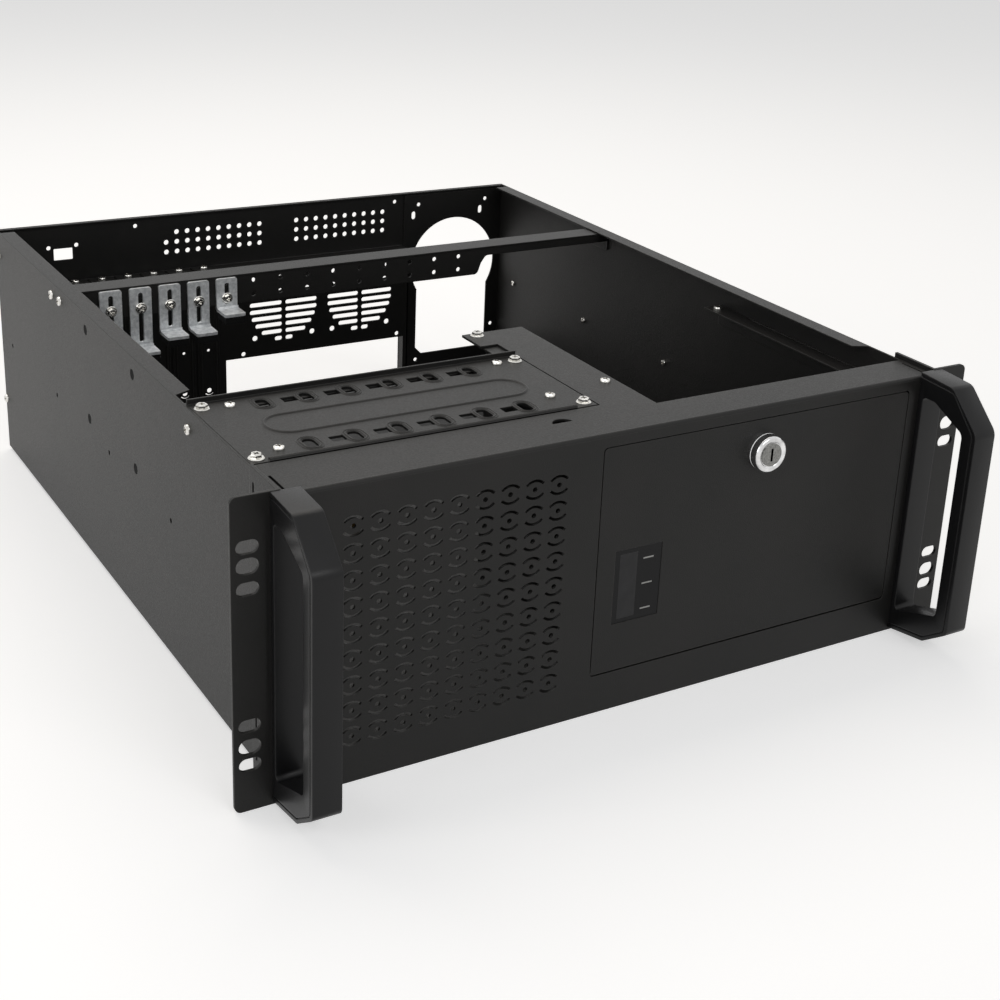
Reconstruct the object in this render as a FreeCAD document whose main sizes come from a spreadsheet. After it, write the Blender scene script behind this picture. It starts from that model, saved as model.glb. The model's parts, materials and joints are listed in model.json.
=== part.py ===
import FreeCAD, Part
import os
import re

import Sketcher

# Empty 4U rackmount server case.
# X runs to the right seen from the front, Y from the front face to the back, Z up.
# The origin lies under the middle of the whole case. All sizes are millimetres.
# Y values in the sheet are measured from the front panel's face.

Vector = FreeCAD.Vector

DIMENSIONS = {
    # overall
    "rack_width": 482.6,
    "ear_height": 177.0,
    "body_width": 430.0,
    "body_depth": 530.0,
    "body_bottom": 3.0,
    "body_top": 174.0,
    "wall": 1.2,
    "front_wall": 1.5,
    "contact_gap": 0.3,
    "cover_gap": 0.3,
    # side walls
    "flange_width": 11.0,
    "flange_slant": 5.0,
    "left_flange_start": 150.0,
    "right_flange_start": 58.0,
    "left_ledge_end": 141.0,
    "right_ledge_end": 29.0,
    "wall_hole_first": 161.0,
    "wall_hole_pitch": 113.0,
    "wall_hole_height": 93.0,
    "wall_hole_radius": 1.8,
    "dimple_first": 222.0,
    "dimple_pitch": 91.0,
    "dimple_low": 102.0,
    "dimple_rise": 60.5,
    "dimple_radius": 3.6,
    "dimple_depth": 0.5,
    # ears and handles
    "ear_sheet": 2.0,
    "ear_leg": 35.0,
    "ear_corner": 4.0,
    "ear_hole_spacing": 465.1,
    "ear_slot_length": 12.0,
    "ear_slot_height": 7.5,
    "ear_slot_height_wide": 9.0,
    "ear_span_outer": 122.4,
    "ear_span_middle": 101.6,
    "ear_span_inner": 77.0,
    "leg_slit_place": 29.0,
    "leg_slit_width": 2.0,
    "leg_slit_short": 6.0,
    "leg_slit_long": 13.0,
    "leg_slit_edge": 8.0,
    "leg_slit_inset": 26.0,
    "handle_width": 16.0,
    "handle_outset": 5.5,
    "handle_reach": 50.0,
    "handle_top": 176.8,
    "handle_fall": 1.5,
    "handle_flat": 27.0,
    "handle_shoulder": 153.0,
    "handle_toe": 20.0,
    "handle_heel": 31.0,
    "handle_heel_height": 7.0,
    "handle_bottom": 2.0,
    "handle_back": 4.0,
    "handle_bar": 11.0,
    "grip_low_back": 16.0,
    "grip_low_front": 28.0,
    "grip_high_front": 150.0,
    "grip_high_back": 162.0,
    "grip_shoulder": 14.0,
    "grip_corner": 3.5,
    "handle_edge": 1.0,
    "groove_inset": 1.8,
    "groove_width": 0.9,
    "groove_depth": 0.8,
    "handle_screw_radius": 2.0,
    "handle_screw_length": 9.0,
    "handle_screw_head": 3.5,
    "handle_screw_head_height": 2.4,
    "handle_screw_low": 9.0,
    "handle_screw_high": 167.0,
    "handle_screw_place": 209.0,
    # front panel
    "strip_depth": 29.0,
    "strip_depth_left": 34.0,
    "strip_slit_place": 211.0,
    "strip_slit_width": 1.6,
    "strip_slit_start": 4.0,
    "strip_slit_end": 24.0,
    "bend_radius": 2.0,
    "bridge_left": -4.0,
    "bridge_right": 27.5,
    "bridge_end": 180.0,
    "bridge_tab_left": -16.0,
    "bridge_tab_start": 156.0,
    "grille_first": -176.0,
    "grille_low": 28.0,
    "grille_pitch": 15.2,
    "grille_count": 9,
    "brow_outer": 5.8,
    "brow_inner": 4.0,
    "brow_half_angle": 54.0,
    "eye_radius": 1.3,
    # door and its lock
    "door_left": -26.0,
    "door_right": 196.0,
    "door_low": 25.5,
    "door_high": 165.5,
    "door_gap": 0.6,
    "door_gap_below": 1.2,
    "door_corner": 2.5,
    "door_depth": 8.0,
    "hinge_back": 2.6,
    "hinge_rise": 4.0,
    "hinge_pin_radius": 1.0,
    "hinge_play": 0.05,
    "hinge_lug": 1.5,
    "hinge_lug_height": 10.0,
    "keeper_depth": 12.5,
    "lock_place": 85.0,
    "lock_height": 146.0,
    "lock_head_radius": 11.2,
    "lock_head_length": 8.5,
    "lock_head_edge": 1.0,
    "lock_barrel_radius": 9.5,
    "lock_barrel_end": 13.0,
    "lock_plug_radius": 7.0,
    "lock_play": 0.05,
    "lock_nut_radius": 13.0,
    "lock_nut_thick": 3.0,
    "cam_thick": 1.5,
    "cam_reach": 26.0,
    "cam_width": 14.0,
    "cam_post_radius": 3.5,
    "cam_cap_radius": 5.5,
    "cam_cap_thick": 2.0,
    "key_slot_width": 1.6,
    "key_slot_height": 8.0,
    "key_slot_depth": 3.0,
    "window_left": -14.0,
    "window_right": 18.0,
    "window_low": 55.3,
    "window_high": 101.3,
    "window_margin": 2.0,
    "window_play": 0.2,
    "window_thick": 3.0,
    "guide_left": -10.5,
    "guide_right": 1.5,
    "guide_low": 58.0,
    "guide_high": 98.5,
    # frame behind the door
    "frame_place": 20.0,
    "frame_side": 3.6,
    "frame_low": 18.0,
    "frame_high": 172.0,
    "bay_left": 36.0,
    "bay_right": 186.0,
    "bay_low": 30.0,
    "bay_high": 158.0,
    "button_place": 6.0,
    "power_height": 140.0,
    "reset_height": 118.0,
    "power_radius": 6.0,
    "reset_radius": 3.0,
    "button_play": 0.3,
    "button_collar": 1.5,
    "button_collar_thick": 1.5,
    "button_travel": 1.5,
    "button_stand": 3.0,
    "switch_wall": 1.6,
    "switch_depth": 10.0,
    "led_place": -4.5,
    "led_low": 62.0,
    "led_pitch": 16.0,
    "led_count": 3,
    "led_radius": 1.5,
    "led_length": 7.0,
    # drive cage, its cover plate and the walls that carry them
    "plate_front": 41.0,
    "plate_back": 134.0,
    "plate_right": -5.0,
    "plate_lip": 3.0,
    "plate_hem": 5.0,
    "opening_first": -181.0,
    "opening_pitch": 26.1,
    "opening_count": 6,
    "opening_width": 7.0,
    "opening_length": 6.5,
    "opening_front": 55.0,
    "opening_back": 119.0,
    "bead_left": -187.0,
    "bead_right": -27.0,
    "bead_place": 86.0,
    "bead_radius": 13.5,
    "bead_height": 0.5,
    "cage_left": -199.0,
    "cage_right": -16.0,
    "cage_front": 43.0,
    "cage_back": 131.0,
    "cage_low": 62.0,
    "cage_flange": 12.0,
    "cage_cross": 9.0,
    "bay_wall_place": -3.0,
    "bay_wall_front": 36.0,
    "bay_wall_back": 172.0,
    "bay_wall_flange": 11.0,
    "plate_screw_inset": 5.5,
    "plate_screw_front": 47.0,
    "plate_screw_back": 124.0,
    "plate_screw_radius": 1.8,
    "plate_screw_length": 5.0,
    "hex_radius": 4.2,
    "hex_height": 3.0,
    "washer_radius": 5.6,
    "washer_thick": 0.8,
    "ledge_inner": 199.0,
    "ledge_slit": 2.0,
    "ledge_height": 157.0,
    "ledge_back": 212.0,
    "ledge_tab": 34.0,
    "ledge_leg": 14.0,
    # rear panel
    "recess_left": -198.0,
    "recess_right": 119.0,
    "recess_top": 129.0,
    "recess_depth": 14.0,
    "io_left": -44.0,
    "io_width": 158.75,
    "io_low": 8.5,
    "io_height": 44.45,
    "slot_first": -59.0,
    "slot_pitch": 20.32,
    "slot_count": 7,
    "slot_width": 13.0,
    "slot_low": 14.0,
    "slot_high": 116.0,
    "cover_width": 18.4,
    "cover_low": 7.0,
    "cover_thick": 1.0,
    "cover_tab": 11.5,
    "cover_hole_high": 64.0,
    "cover_hole_low": 30.0,
    "cover_hole_radius": 1.8,
    "fan_first": 6.0,
    "fan_pitch": 68.0,
    "fan_height": 93.2,
    "fan_radius": 29.5,
    "fan_half_rows": 5,
    "fan_row_pitch": 6.05,
    "fan_slot_height": 3.6,
    "fan_web": 2.7,
    "fan_hole_spacing": 50.0,
    "fan_hole_radius": 2.2,
    "vent_left": -85.8,
    "vent_right": 23.4,
    "vent_pitch": 8.6,
    "vent_low": 143.8,
    "vent_rise": 7.8,
    "vent_columns": 10,
    "vent_rows": 3,
    "vent_radius": 2.4,
    "port_left": -173.4,
    "port_right": -159.0,
    "port_low": 146.0,
    "port_high": 155.0,
    # power supply plate
    "supply_left": 120.5,
    "supply_low": 8.0,
    "supply_high": 171.5,
    "supply_cut_left": 125.0,
    "supply_cut_right": 211.0,
    "supply_cut_low": 16.0,
    "supply_cut_high": 169.0,
    "supply_round_radius": 40.0,
    "supply_round_place": 168.0,
    "supply_round_height": 109.0,
    "supply_gap_left": 133.5,
    "supply_gap_right": 202.0,
    "supply_gap_low": 30.0,
    "supply_gap_high": 94.0,
    "supply_gap_corner": 6.0,
    "supply_screw_left": 134.0,
    "supply_screw_top": 163.0,
    "supply_screw_across": 64.0,
    "supply_screw_down": 138.0,
    "supply_screw_far": 74.0,
    "supply_screw_short": 114.0,
    "supply_hole_radius": 1.9,
    "supply_oval_shift": 4.7,
    "supply_oval_drop": 9.0,
    "supply_oval_height": 7.0,
    # card bar, clamps and pads
    "bar_front": 359.0,
    "bar_depth": 19.0,
    "bar_low": 152.5,
    "bar_low_right": 166.5,
    "bar_step": 96.0,
    "bar_step_corner": 7.0,
    "bar_tab": 33.0,
    "bar_tab_height": 14.0,
    "bar_hole_count": 14,
    "bar_hole_high": 168.0,
    "bar_hole_low": 158.0,
    "clamp_shift": 3.5,
    "clamp_sheet": 2.0,
    "clamp_width": 15.0,
    "clamp_top": 172.0,
    "clamp_corner": 2.5,
    "clamp_slot_top": 168.0,
    "clamp_foot": 18.0,
    "clamp_slot_above_foot": 2.4,
    "clamp_screw_radius": 2.0,
    "clamp_long": 42.5,
    "clamp_medium": 34.0,
    "clamp_short": 23.0,
    "clamp_head_radius": 3.8,
    "clamp_head_height": 2.6,
    "clamp_washer_radius": 5.2,
    "clamp_washer_thick": 1.0,
    "pad_thick": 5.0,
    "pad_inset": 0.5,
    # motherboard standoffs
    "standoff_right": 115.0,
    "standoff_middle_step": 157.48,
    "standoff_far_step": 281.94,
    "standoff_back": 502.6,
    "standoff_near_row": 154.94,
    "standoff_far_row": 227.33,
    "standoff_radius": 3.2,
    "standoff_height": 6.5,
}

doc = FreeCAD.newDocument("server_case")
sheet = doc.addObject("Spreadsheet::Sheet", "size")
for row, (alias, value) in enumerate(DIMENSIONS.items(), start=1):
    sheet.set(f"A{row}", alias.replace("_", " "))
    sheet.set(f"B{row}", str(value))
    sheet.setAlias(f"B{row}", alias)
doc.recompute()

SUB_PARTS = []


def bound(text):
    """Write an expression in the sheet's aliases, such as 'body_width / 2'."""
    def full(word):
        name = word.group()
        return "size." + name if name in DIMENSIONS else name
    return re.sub(r"[a-z_]+", full, str(text))


def value_of(text):
    """The present value of such an expression."""
    number = sheet.evalExpression(bound(text))
    return float(getattr(number, "Value", number))


def bind(obj, prop, text):
    obj.setExpression(prop, bound(text))


def sub_part(obj, label):
    """Name a finished piece and move it from the panel's face to the case's origin."""
    obj.Label = label
    bind(obj, "Placement.Base.y", "(handle_reach - body_depth) / 2")
    SUB_PARTS.append(obj)


def side_span(side, near, far):
    """The X range between two distances from the middle, on the left or the right."""
    if side == "left":
        return (f"-({far})", f"-({near})")
    return (near, far)


# ---------------------------------------------------------------- sketched features

# The plane to draw on for each direction of extrusion, and whether its normal points backwards.
# A sketch's own axes are (Y, Z) along x, (X, Z) along y and (X, Y) along z.
PLANES = {"x": ("YZ_Plane", False), "y": ("XZ_Plane", True), "z": ("XY_Plane", False)}


def new_body(name):
    return doc.addObject("PartDesign::Body", name)


def new_sketch(body, name, axis, start):
    """A sketch across an axis, at a bound place along it."""
    role, backwards = PLANES[axis]
    sketch = body.newObject("Sketcher::SketchObject", name)
    plane = next(item for item in body.Origin.OriginFeatures if item.Role == role)
    sketch.AttachmentSupport = [(plane, "")]
    sketch.MapMode = "FlatFace"
    bind(sketch, "AttachmentOffset.Base.z", f"-({start})" if backwards else start)
    return sketch


def pin_point(sketch, edge, end, point):
    """Hold one end of an edge, or the centre of an arc, at a bound place."""
    for kind, text in (("DistanceX", point[0]), ("DistanceY", point[1])):
        index = sketch.addConstraint(Sketcher.Constraint(kind, -1, 1, edge, end, value_of(text)))
        sketch.setExpression(f"Constraints[{index}]", bound(text))


def pin_radius(sketch, edge, radius):
    index = sketch.addConstraint(Sketcher.Constraint("Radius", edge, value_of(radius)))
    sketch.setExpression(f"Constraints[{index}]", bound(radius))


def spot(point):
    return Vector(value_of(point[0]), value_of(point[1]), 0)


def draw_outline(sketch, points):
    """A closed outline of straight edges through bound points."""
    first = sketch.GeometryCount
    count = len(points)
    for i in range(count):
        sketch.addGeometry(Part.LineSegment(spot(points[i]), spot(points[(i + 1) % count])))
    for i in range(count):
        sketch.addConstraint(Sketcher.Constraint("Coincident", first + i, 2, first + (i + 1) % count, 1))
        pin_point(sketch, first + i, 1, points[i])


def draw_circle(sketch, centre, radius):
    edge = sketch.addGeometry(Part.Circle(spot(centre), Vector(0, 0, 1), value_of(radius)))
    pin_point(sketch, edge, 3, centre)
    pin_radius(sketch, edge, radius)


def draw_slot(sketch, first, second, radius):
    """Two round ends joined by straight sides, along the sketch's first or second axis."""
    a = spot(first)
    b = spot(second)
    turn = (b - a).getAngle(Vector(1, 0, 0))
    side = Vector(0, 0, 1).cross(b - a).normalize() * value_of(radius)
    ends = [(a, first, turn + 1.5707963, turn + 4.7123890), (b, second, turn - 1.5707963, turn + 1.5707963)]
    arcs = []
    for centre, place, start, stop in ends:
        round_end = Part.ArcOfCircle(Part.Circle(centre, Vector(0, 0, 1), value_of(radius)), start, stop)
        arcs.append(sketch.addGeometry(round_end))
        pin_point(sketch, arcs[-1], 3, place)
        pin_radius(sketch, arcs[-1], radius)
    low = sketch.addGeometry(Part.LineSegment(a - side, b - side))
    high = sketch.addGeometry(Part.LineSegment(b + side, a + side))
    for pair in ((arcs[0], 2, low, 1), (low, 2, arcs[1], 1), (arcs[1], 2, high, 1), (high, 2, arcs[0], 1)):
        sketch.addConstraint(Sketcher.Constraint("Tangent", *pair))


def facets(centre, radius, sides=6):
    """A small round opening as a few flats, its radius to the corners."""
    x, y = centre
    corners = []
    for i in range(sides):
        turn = f"({360 / sides:g} * {i} * 1deg)"
        corners.append((f"{x} + ({radius}) * cos{turn}", f"{y} + ({radius}) * sin{turn}"))
    return ("outline", corners)


def upright_slot(centre, low, high, radius, chords=4):
    """A slot along the sketch's second axis, its round ends as a few chords between its true sides."""
    points = []
    for end, first in ((high, 0), (low, 180)):
        for i in range(chords + 1):
            turn = f"({first + 180 * i / chords:g} * 1deg)"
            points.append((f"{centre} + ({radius}) * cos{turn}", f"{end} + ({radius}) * sin{turn}"))
    return ("outline", points)


def rectangle(across, up):
    return ("outline", [(across[0], up[0]), (across[1], up[0]), (across[1], up[1]), (across[0], up[1])])


def circle(centre, radius):
    return ("circle", centre, radius)


def slot(first, second, radius):
    return ("slot", first, second, radius)


DRAW = {"outline": draw_outline, "circle": draw_circle, "slot": draw_slot}


def extrude(kind, body, name, axis, span, loops):
    """Pad or pocket closed loops over a span of an axis."""
    sketch = new_sketch(body, name + "_sketch", axis, span[0])
    for loop in loops:
        DRAW[loop[0]](sketch, *loop[1:])
    before = body.Tip.Shape.Volume if body.Tip else 0
    feature = body.newObject(kind, name)
    feature.Profile = sketch
    bind(feature, "Length", f"({span[1]}) - ({span[0]})")
    feature.Reversed = PLANES[axis][1] == (kind == "PartDesign::Pad")
    doc.recompute()
    after = feature.Shape.Volume
    if abs(after - before) < 0.001:
        raise RuntimeError(f"{name} changes nothing")
    return feature


def pad(body, name, axis, span, loops):
    return extrude("PartDesign::Pad", body, name, axis, span, loops)


def pocket(body, name, axis, span, loops):
    return extrude("PartDesign::Pocket", body, name, axis, span, loops)


def repeat(body, feature, steps):
    """Repeat a feature along its sketch's axes: each step is (axis, count, pitch)."""
    grid = body.newObject("PartDesign::MultiTransform", feature.Name + "_grid")
    grid.Originals = [feature]
    rows = []
    for axis, count, pitch in steps:
        line = doc.addObject("PartDesign::LinearPattern", feature.Name + "_row")
        body.addObject(line)
        line.Direction = (feature.Profile[0], [axis])
        bind(line, "Occurrences", count)
        bind(line, "Length", f"({pitch}) * ({count} - 1)")
        rows.append(line)
    grid.Transformations = rows
    body.Tip = grid
    doc.recompute()
    return grid


def rounded(body, name, radius, wanted):
    """Fillet the edges of the body so far that the test picks."""
    tip = body.Tip
    names = [f"Edge{i}" for i, edge in enumerate(tip.Shape.Edges, start=1) if wanted(edge)]
    fillet = body.newObject("PartDesign::Fillet", name)
    fillet.Base = (tip, names)
    bind(fillet, "Radius", radius)
    doc.recompute()
    return fillet


def near(number, text):
    return abs(number - value_of(text)) < 0.001


def runs_along(edge, axis):
    """Whether an edge is straight and runs along axis 0, 1 or 2."""
    return isinstance(edge.Curve, Part.Line) and abs(abs(edge.Curve.Direction[axis]) - 1) < 1e-6


# ---------------------------------------------------------------- primitives and booleans

TURNS = {
    "x": FreeCAD.Rotation(Vector(0, 1, 0), 90),
    "y": FreeCAD.Rotation(Vector(1, 0, 0), -90),
    "z": FreeCAD.Rotation(),
}


def place(obj, point):
    bind(obj, "Placement.Base.x", point[0])
    bind(obj, "Placement.Base.y", point[1])
    bind(obj, "Placement.Base.z", point[2])


def block(name, x, y, z):
    """A box from three (low, high) pairs."""
    box = doc.addObject("Part::Box", name)
    bind(box, "Length", f"({x[1]}) - ({x[0]})")
    bind(box, "Width", f"({y[1]}) - ({y[0]})")
    bind(box, "Height", f"({z[1]}) - ({z[0]})")
    place(box, (x[0], y[0], z[0]))
    return box


def rod(name, axis, start, radius, length):
    """A round bar from its start point along an axis."""
    bar = doc.addObject("Part::Cylinder", name)
    bar.Placement = FreeCAD.Placement(Vector(), TURNS[axis])
    bind(bar, "Radius", radius)
    bind(bar, "Height", length)
    place(bar, start)
    return bar


def prism(name, axis, start, radius, length, sides=6):
    """A bar of flat sides, its radius to the corners."""
    bar = doc.addObject("Part::Prism", name)
    bar.Polygon = sides
    bar.Placement = FreeCAD.Placement(Vector(), TURNS[axis])
    bind(bar, "Circumradius", radius)
    bind(bar, "Height", length)
    place(bar, start)
    return bar


def joined(name, pieces):
    union = doc.addObject("Part::MultiFuse", name)
    union.Shapes = pieces
    union.Refine = True
    return union


def gathered(name, pieces):
    group = doc.addObject("Part::Compound", name)
    group.Links = pieces
    return group


def cut(name, base, tools):
    """Take tools that keep clear of each other out of a base."""
    rest = doc.addObject("Part::Cut", name)
    rest.Base = base
    rest.Tool = tools[0] if len(tools) == 1 else gathered(name + "_tools", tools)
    rest.Refine = True
    return rest


# ---------------------------------------------------------------- shared places

HALF = "(body_width / 2)"
INNER = "(body_width / 2 - wall)"
FLOOR = "(body_bottom + wall)"
FLANGE_LOW = "(body_top - wall)"
COVER_LOW = "(body_top - front_wall)"
LEDGE_LOW = "(body_top - front_wall - wall)"
RECESS_BACK = "(body_depth - recess_depth)"
HINGE_HEIGHT = "(door_low + hinge_rise)"
PLATE_SCREW_LEFT = "(plate_screw_inset - " + HALF + ")"
PLATE_SCREW_RIGHT = "(plate_right - plate_screw_inset + 2)"
PLATE_SCREWS = [
    (x, y)
    for x in (PLATE_SCREW_LEFT, PLATE_SCREW_RIGHT)
    for y in ("plate_screw_front", "plate_screw_back")
]
CLAMP_LENGTHS = ["clamp_long", "clamp_long", "clamp_medium", "clamp_medium", "clamp_short"]


def clamp_place(number):
    """The X of a card clamp, counted from the left."""
    return f"(slot_first - slot_pitch * (slot_count - 1 - {number}) - clamp_shift)"


# ---------------------------------------------------------------- chassis


def chassis_shell():
    """The floor and side walls, with a top flange behind and a lowered ledge in front, one folded sheet."""
    body = new_body("chassis")
    section = [
        (f"-{HALF}", "body_bottom"), (HALF, "body_bottom"), (HALF, "body_top"), (INNER, "body_top"),
        (INNER, FLOOR), (f"-{INNER}", FLOOR), (f"-{INNER}", "body_top"), (f"-{HALF}", "body_top"),
    ]
    pad(body, "folded_sheet", "y", ("front_wall", "body_depth"), [("outline", section)])

    def strip(sign, front, back, slant_front, slant_back):
        edge = f"{sign}({HALF} - flange_width)"
        wall_side = f"{sign}({INNER} + wall / 2)"
        return ("outline", [
            (wall_side, front), (edge, f"{front} + {slant_front}"),
            (edge, f"{back} - {slant_back}"), (wall_side, back),
        ])

    rear = "body_depth - flange_width - contact_gap"
    flanges = [
        strip("-", "left_flange_start", rear, "flange_slant", "0"),
        strip("", "right_flange_start", rear, "flange_slant", "0"),
    ]
    pad(body, "top_flanges", "z", (FLANGE_LOW, "body_top"), flanges)
    ledges = [
        strip("-", "front_wall", "left_ledge_end", "0", "flange_slant"),
        strip("", "front_wall", "right_ledge_end", "0", "flange_slant"),
    ]
    pad(body, "front_ledges", "z", (LEDGE_LOW, COVER_LOW), ledges)

    holes = pocket(
        body,
        "wall_holes",
        "x",
        (f"-{HALF} - 1", f"{HALF} + 1"),
        [facets(("wall_hole_first", "wall_hole_height"), "wall_hole_radius")],
    )
    repeat(body, holes, [("H_Axis", 4, "wall_hole_pitch")])
    for side, span in (
        ("left", (f"-{HALF}", f"dimple_depth - {HALF}")), ("right", (f"{HALF} - dimple_depth", HALF)),
    ):
        dimple = pocket(
            body, f"{side}_dimple", "x", span, [facets(("dimple_first", "dimple_low"), "dimple_radius", 8)],
        )
        repeat(body, dimple, [("H_Axis", 2, "dimple_pitch"), ("V_Axis", 2, "dimple_rise")])
    screws = [
        facets((PLATE_SCREW_LEFT, y), "plate_screw_radius")
        for y in ("plate_screw_front", "plate_screw_back")
    ]
    pocket(body, "plate_screw_holes", "z", (f"{LEDGE_LOW} - 1", f"{COVER_LOW} + 1"), screws)
    sub_part(body, "chassis_shell")


def rear_panel():
    """The rear sheet: vents and a power supply opening, and a recess for cards, ports and fans."""
    body = new_body("rear")
    skin = [
        (f"-{INNER}", FLOOR), ("recess_left + wall", FLOOR),
        ("recess_left + wall", "recess_top - wall"), ("recess_right - wall", "recess_top - wall"),
        ("recess_right - wall", FLOOR), (INNER, FLOOR),
        (INNER, "body_top"), (f"-{INNER}", "body_top"),
    ]
    supply = rectangle(("supply_cut_left", "supply_cut_right"), ("supply_cut_low", "supply_cut_high"))
    port = rectangle(("port_left", "port_right"), ("port_low", "port_high"))
    pad(body, "outer_sheet", "y", ("body_depth - wall", "body_depth"), [("outline", skin), supply, port])

    rim = [
        ("recess_left", FLOOR), ("recess_left + wall", FLOOR),
        ("recess_left + wall", "recess_top - wall"), ("recess_right - wall", "recess_top - wall"),
        ("recess_right - wall", FLOOR), ("recess_right", FLOOR),
        ("recess_right", "recess_top"), ("recess_left", "recess_top"),
    ]
    pad(body, "recess_rim", "y", (f"{RECESS_BACK} - wall", "body_depth"), [("outline", rim)])
    back = [
        rectangle(("recess_left", "recess_right"), (FLOOR, "recess_top")),
        rectangle(("io_left", "io_left + io_width"), ("io_low", "io_low + io_height")),
    ]
    pad(body, "recess_back", "y", (f"{RECESS_BACK} - wall", RECESS_BACK), back)
    lip = rectangle((f"-{INNER}", INNER), ("body_depth - flange_width", "body_depth"))
    pad(body, "top_flange", "z", (FLANGE_LOW, "body_top"), [lip])

    last = "(slot_first - slot_pitch * (slot_count - 1))"
    window = rectangle((f"{last} - slot_width / 2", f"{last} + slot_width / 2"), ("slot_low", "slot_high"))
    card = pocket(body, "card_slot", "y", (f"{RECESS_BACK} - wall - 1", f"{RECESS_BACK} + 1"), [window])
    repeat(body, card, [("H_Axis", "slot_count", "slot_pitch")])

    tools = []
    for group, left in (("left", "vent_left"), ("right", "vent_right")):
        for level in range(DIMENSIONS["vent_rows"]):
            for column in range(DIMENSIONS["vent_columns"]):
                if group == "left" and column == 0 and level == DIMENSIONS["vent_rows"] - 1:
                    continue
                centre = (
                    f"{left} + vent_pitch * {column}",
                    "body_depth - wall - 1",
                    f"vent_low + vent_rise * {level}",
                )
                tools.append(
                    prism(f"vent_{group}_{level}_{column}", "y", centre, "vent_radius", "wall + 2", 5)
                )
    for fan in range(2):
        tools.extend(fan_cutters(fan))
    sub_part(cut("rear_cut", body, tools), "rear_panel")


def fan_cutters(fan):
    """Rows of slots inside a circle, split by a middle web, and the fan's four screw holes."""
    centre = f"(fan_first + fan_pitch * {fan})"
    depth = (f"{RECESS_BACK} - wall - 1", f"{RECESS_BACK} + 1")
    disc = rod(f"fan_{fan}_disc", "y", (centre, depth[0], "fan_height"), "fan_radius", "wall + 2")
    bars = []
    for level in range(-DIMENSIONS["fan_half_rows"], DIMENSIONS["fan_half_rows"]):
        middle = f"(fan_height + fan_row_pitch * ({level} + 0.5))"
        up = (f"{middle} - fan_slot_height / 2", f"{middle} + fan_slot_height / 2")
        left = (f"{centre} - fan_radius - 1", f"{centre} - fan_web / 2")
        right = (f"{centre} + fan_web / 2", f"{centre} + fan_radius + 1")
        bars.append(block(f"fan_{fan}_left", left, depth, up))
        bars.append(block(f"fan_{fan}_right", right, depth, up))
    slots = doc.addObject("Part::Common", f"fan_{fan}_slots")
    slots.Base = disc
    slots.Tool = gathered(f"fan_{fan}_bars", bars)
    tools = [slots]
    for across in ("-", "+"):
        for up in ("-", "+"):
            hole = (
                f"{centre} {across} fan_hole_spacing / 2", depth[0], f"fan_height {up} fan_hole_spacing / 2",
            )
            tools.append(prism(f"fan_{fan}_hole", "y", hole, "fan_hole_radius", "wall + 2"))
    return tools


def psu_plate():
    """The plate that adapts the rear opening to the power supply."""
    body = new_body("supply")
    depth = ("body_depth - wall - wall", "body_depth - wall")
    pad(body, "supply_sheet", "y", depth, [rectangle(("supply_left", INNER), ("supply_low", "supply_high"))])
    through = (f"{depth[0]} - 1", f"{depth[1]} + 1")
    pocket(
        body,
        "supply_round",
        "y",
        through,
        [circle(("supply_round_place", "supply_round_height"), "supply_round_radius")],
    )
    left, right, low, high = "supply_gap_left", "supply_gap_right", "supply_gap_low", "supply_gap_high"
    corner = "supply_gap_corner"
    lower = [
        (f"{left} + {corner}", low), (right, low),
        (right, f"{high} - {corner}"), (f"{right} - {corner}", high),
        (f"{left} + {corner}", high), (left, f"{high} - {corner}"), (left, f"{low} + {corner}"),
    ]
    pocket(body, "supply_lower", "y", through, [("outline", lower)])
    first = ("supply_screw_left", "supply_screw_top")
    screws = [
        first,
        (f"{first[0]} + supply_screw_across", first[1]),
        (first[0], f"{first[1]} - supply_screw_down"),
        (f"{first[0]} + supply_screw_far", f"{first[1]} - supply_screw_short"),
    ]
    loops = [facets(centre, "supply_hole_radius") for centre in screws]
    for x, z in screws[:2]:
        middle = f"{z} - supply_oval_drop"
        reach = "(supply_oval_height / 2 - supply_hole_radius)"
        across = f"{x} - supply_oval_shift"
        loops.append(upright_slot(across, f"{middle} - {reach}", f"{middle} + {reach}", "supply_hole_radius"))
    pocket(body, "supply_holes", "y", through, loops)
    sub_part(body, "psu_plate")


def slot_covers():
    """Seven blank covers, each with a tab folded over the recess's shelf."""
    for number in range(DIMENSIONS["slot_count"]):
        centre = f"(slot_first - slot_pitch * {number})"
        front = f"({RECESS_BACK} - wall - cover_thick)"
        side = [
            (front, "cover_low"), (f"{front} + cover_thick", "cover_low"),
            (f"{front} + cover_thick", "recess_top"), (f"{front} + cover_thick + cover_tab", "recess_top"),
            (f"{front} + cover_thick + cover_tab", "recess_top + cover_thick"),
            (front, "recess_top + cover_thick"),
        ]
        body = new_body(f"cover_{number}")
        pad(
            body,
            f"cover_{number}_strip",
            "x",
            (f"{centre} - cover_width / 2", f"{centre} + cover_width / 2"),
            [("outline", side)],
        )
        tools = []
        for height in ("cover_hole_high", "cover_hole_low"):
            start = (centre, f"{front} - 1", height)
            tools.append(prism(f"cover_{number}_hole", "y", start, "cover_hole_radius", "cover_thick + 2"))
        sub_part(cut(f"cover_{number}_cut", body, tools), f"slot_cover_{number + 1}")


# ---------------------------------------------------------------- card bar and clamps


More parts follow.
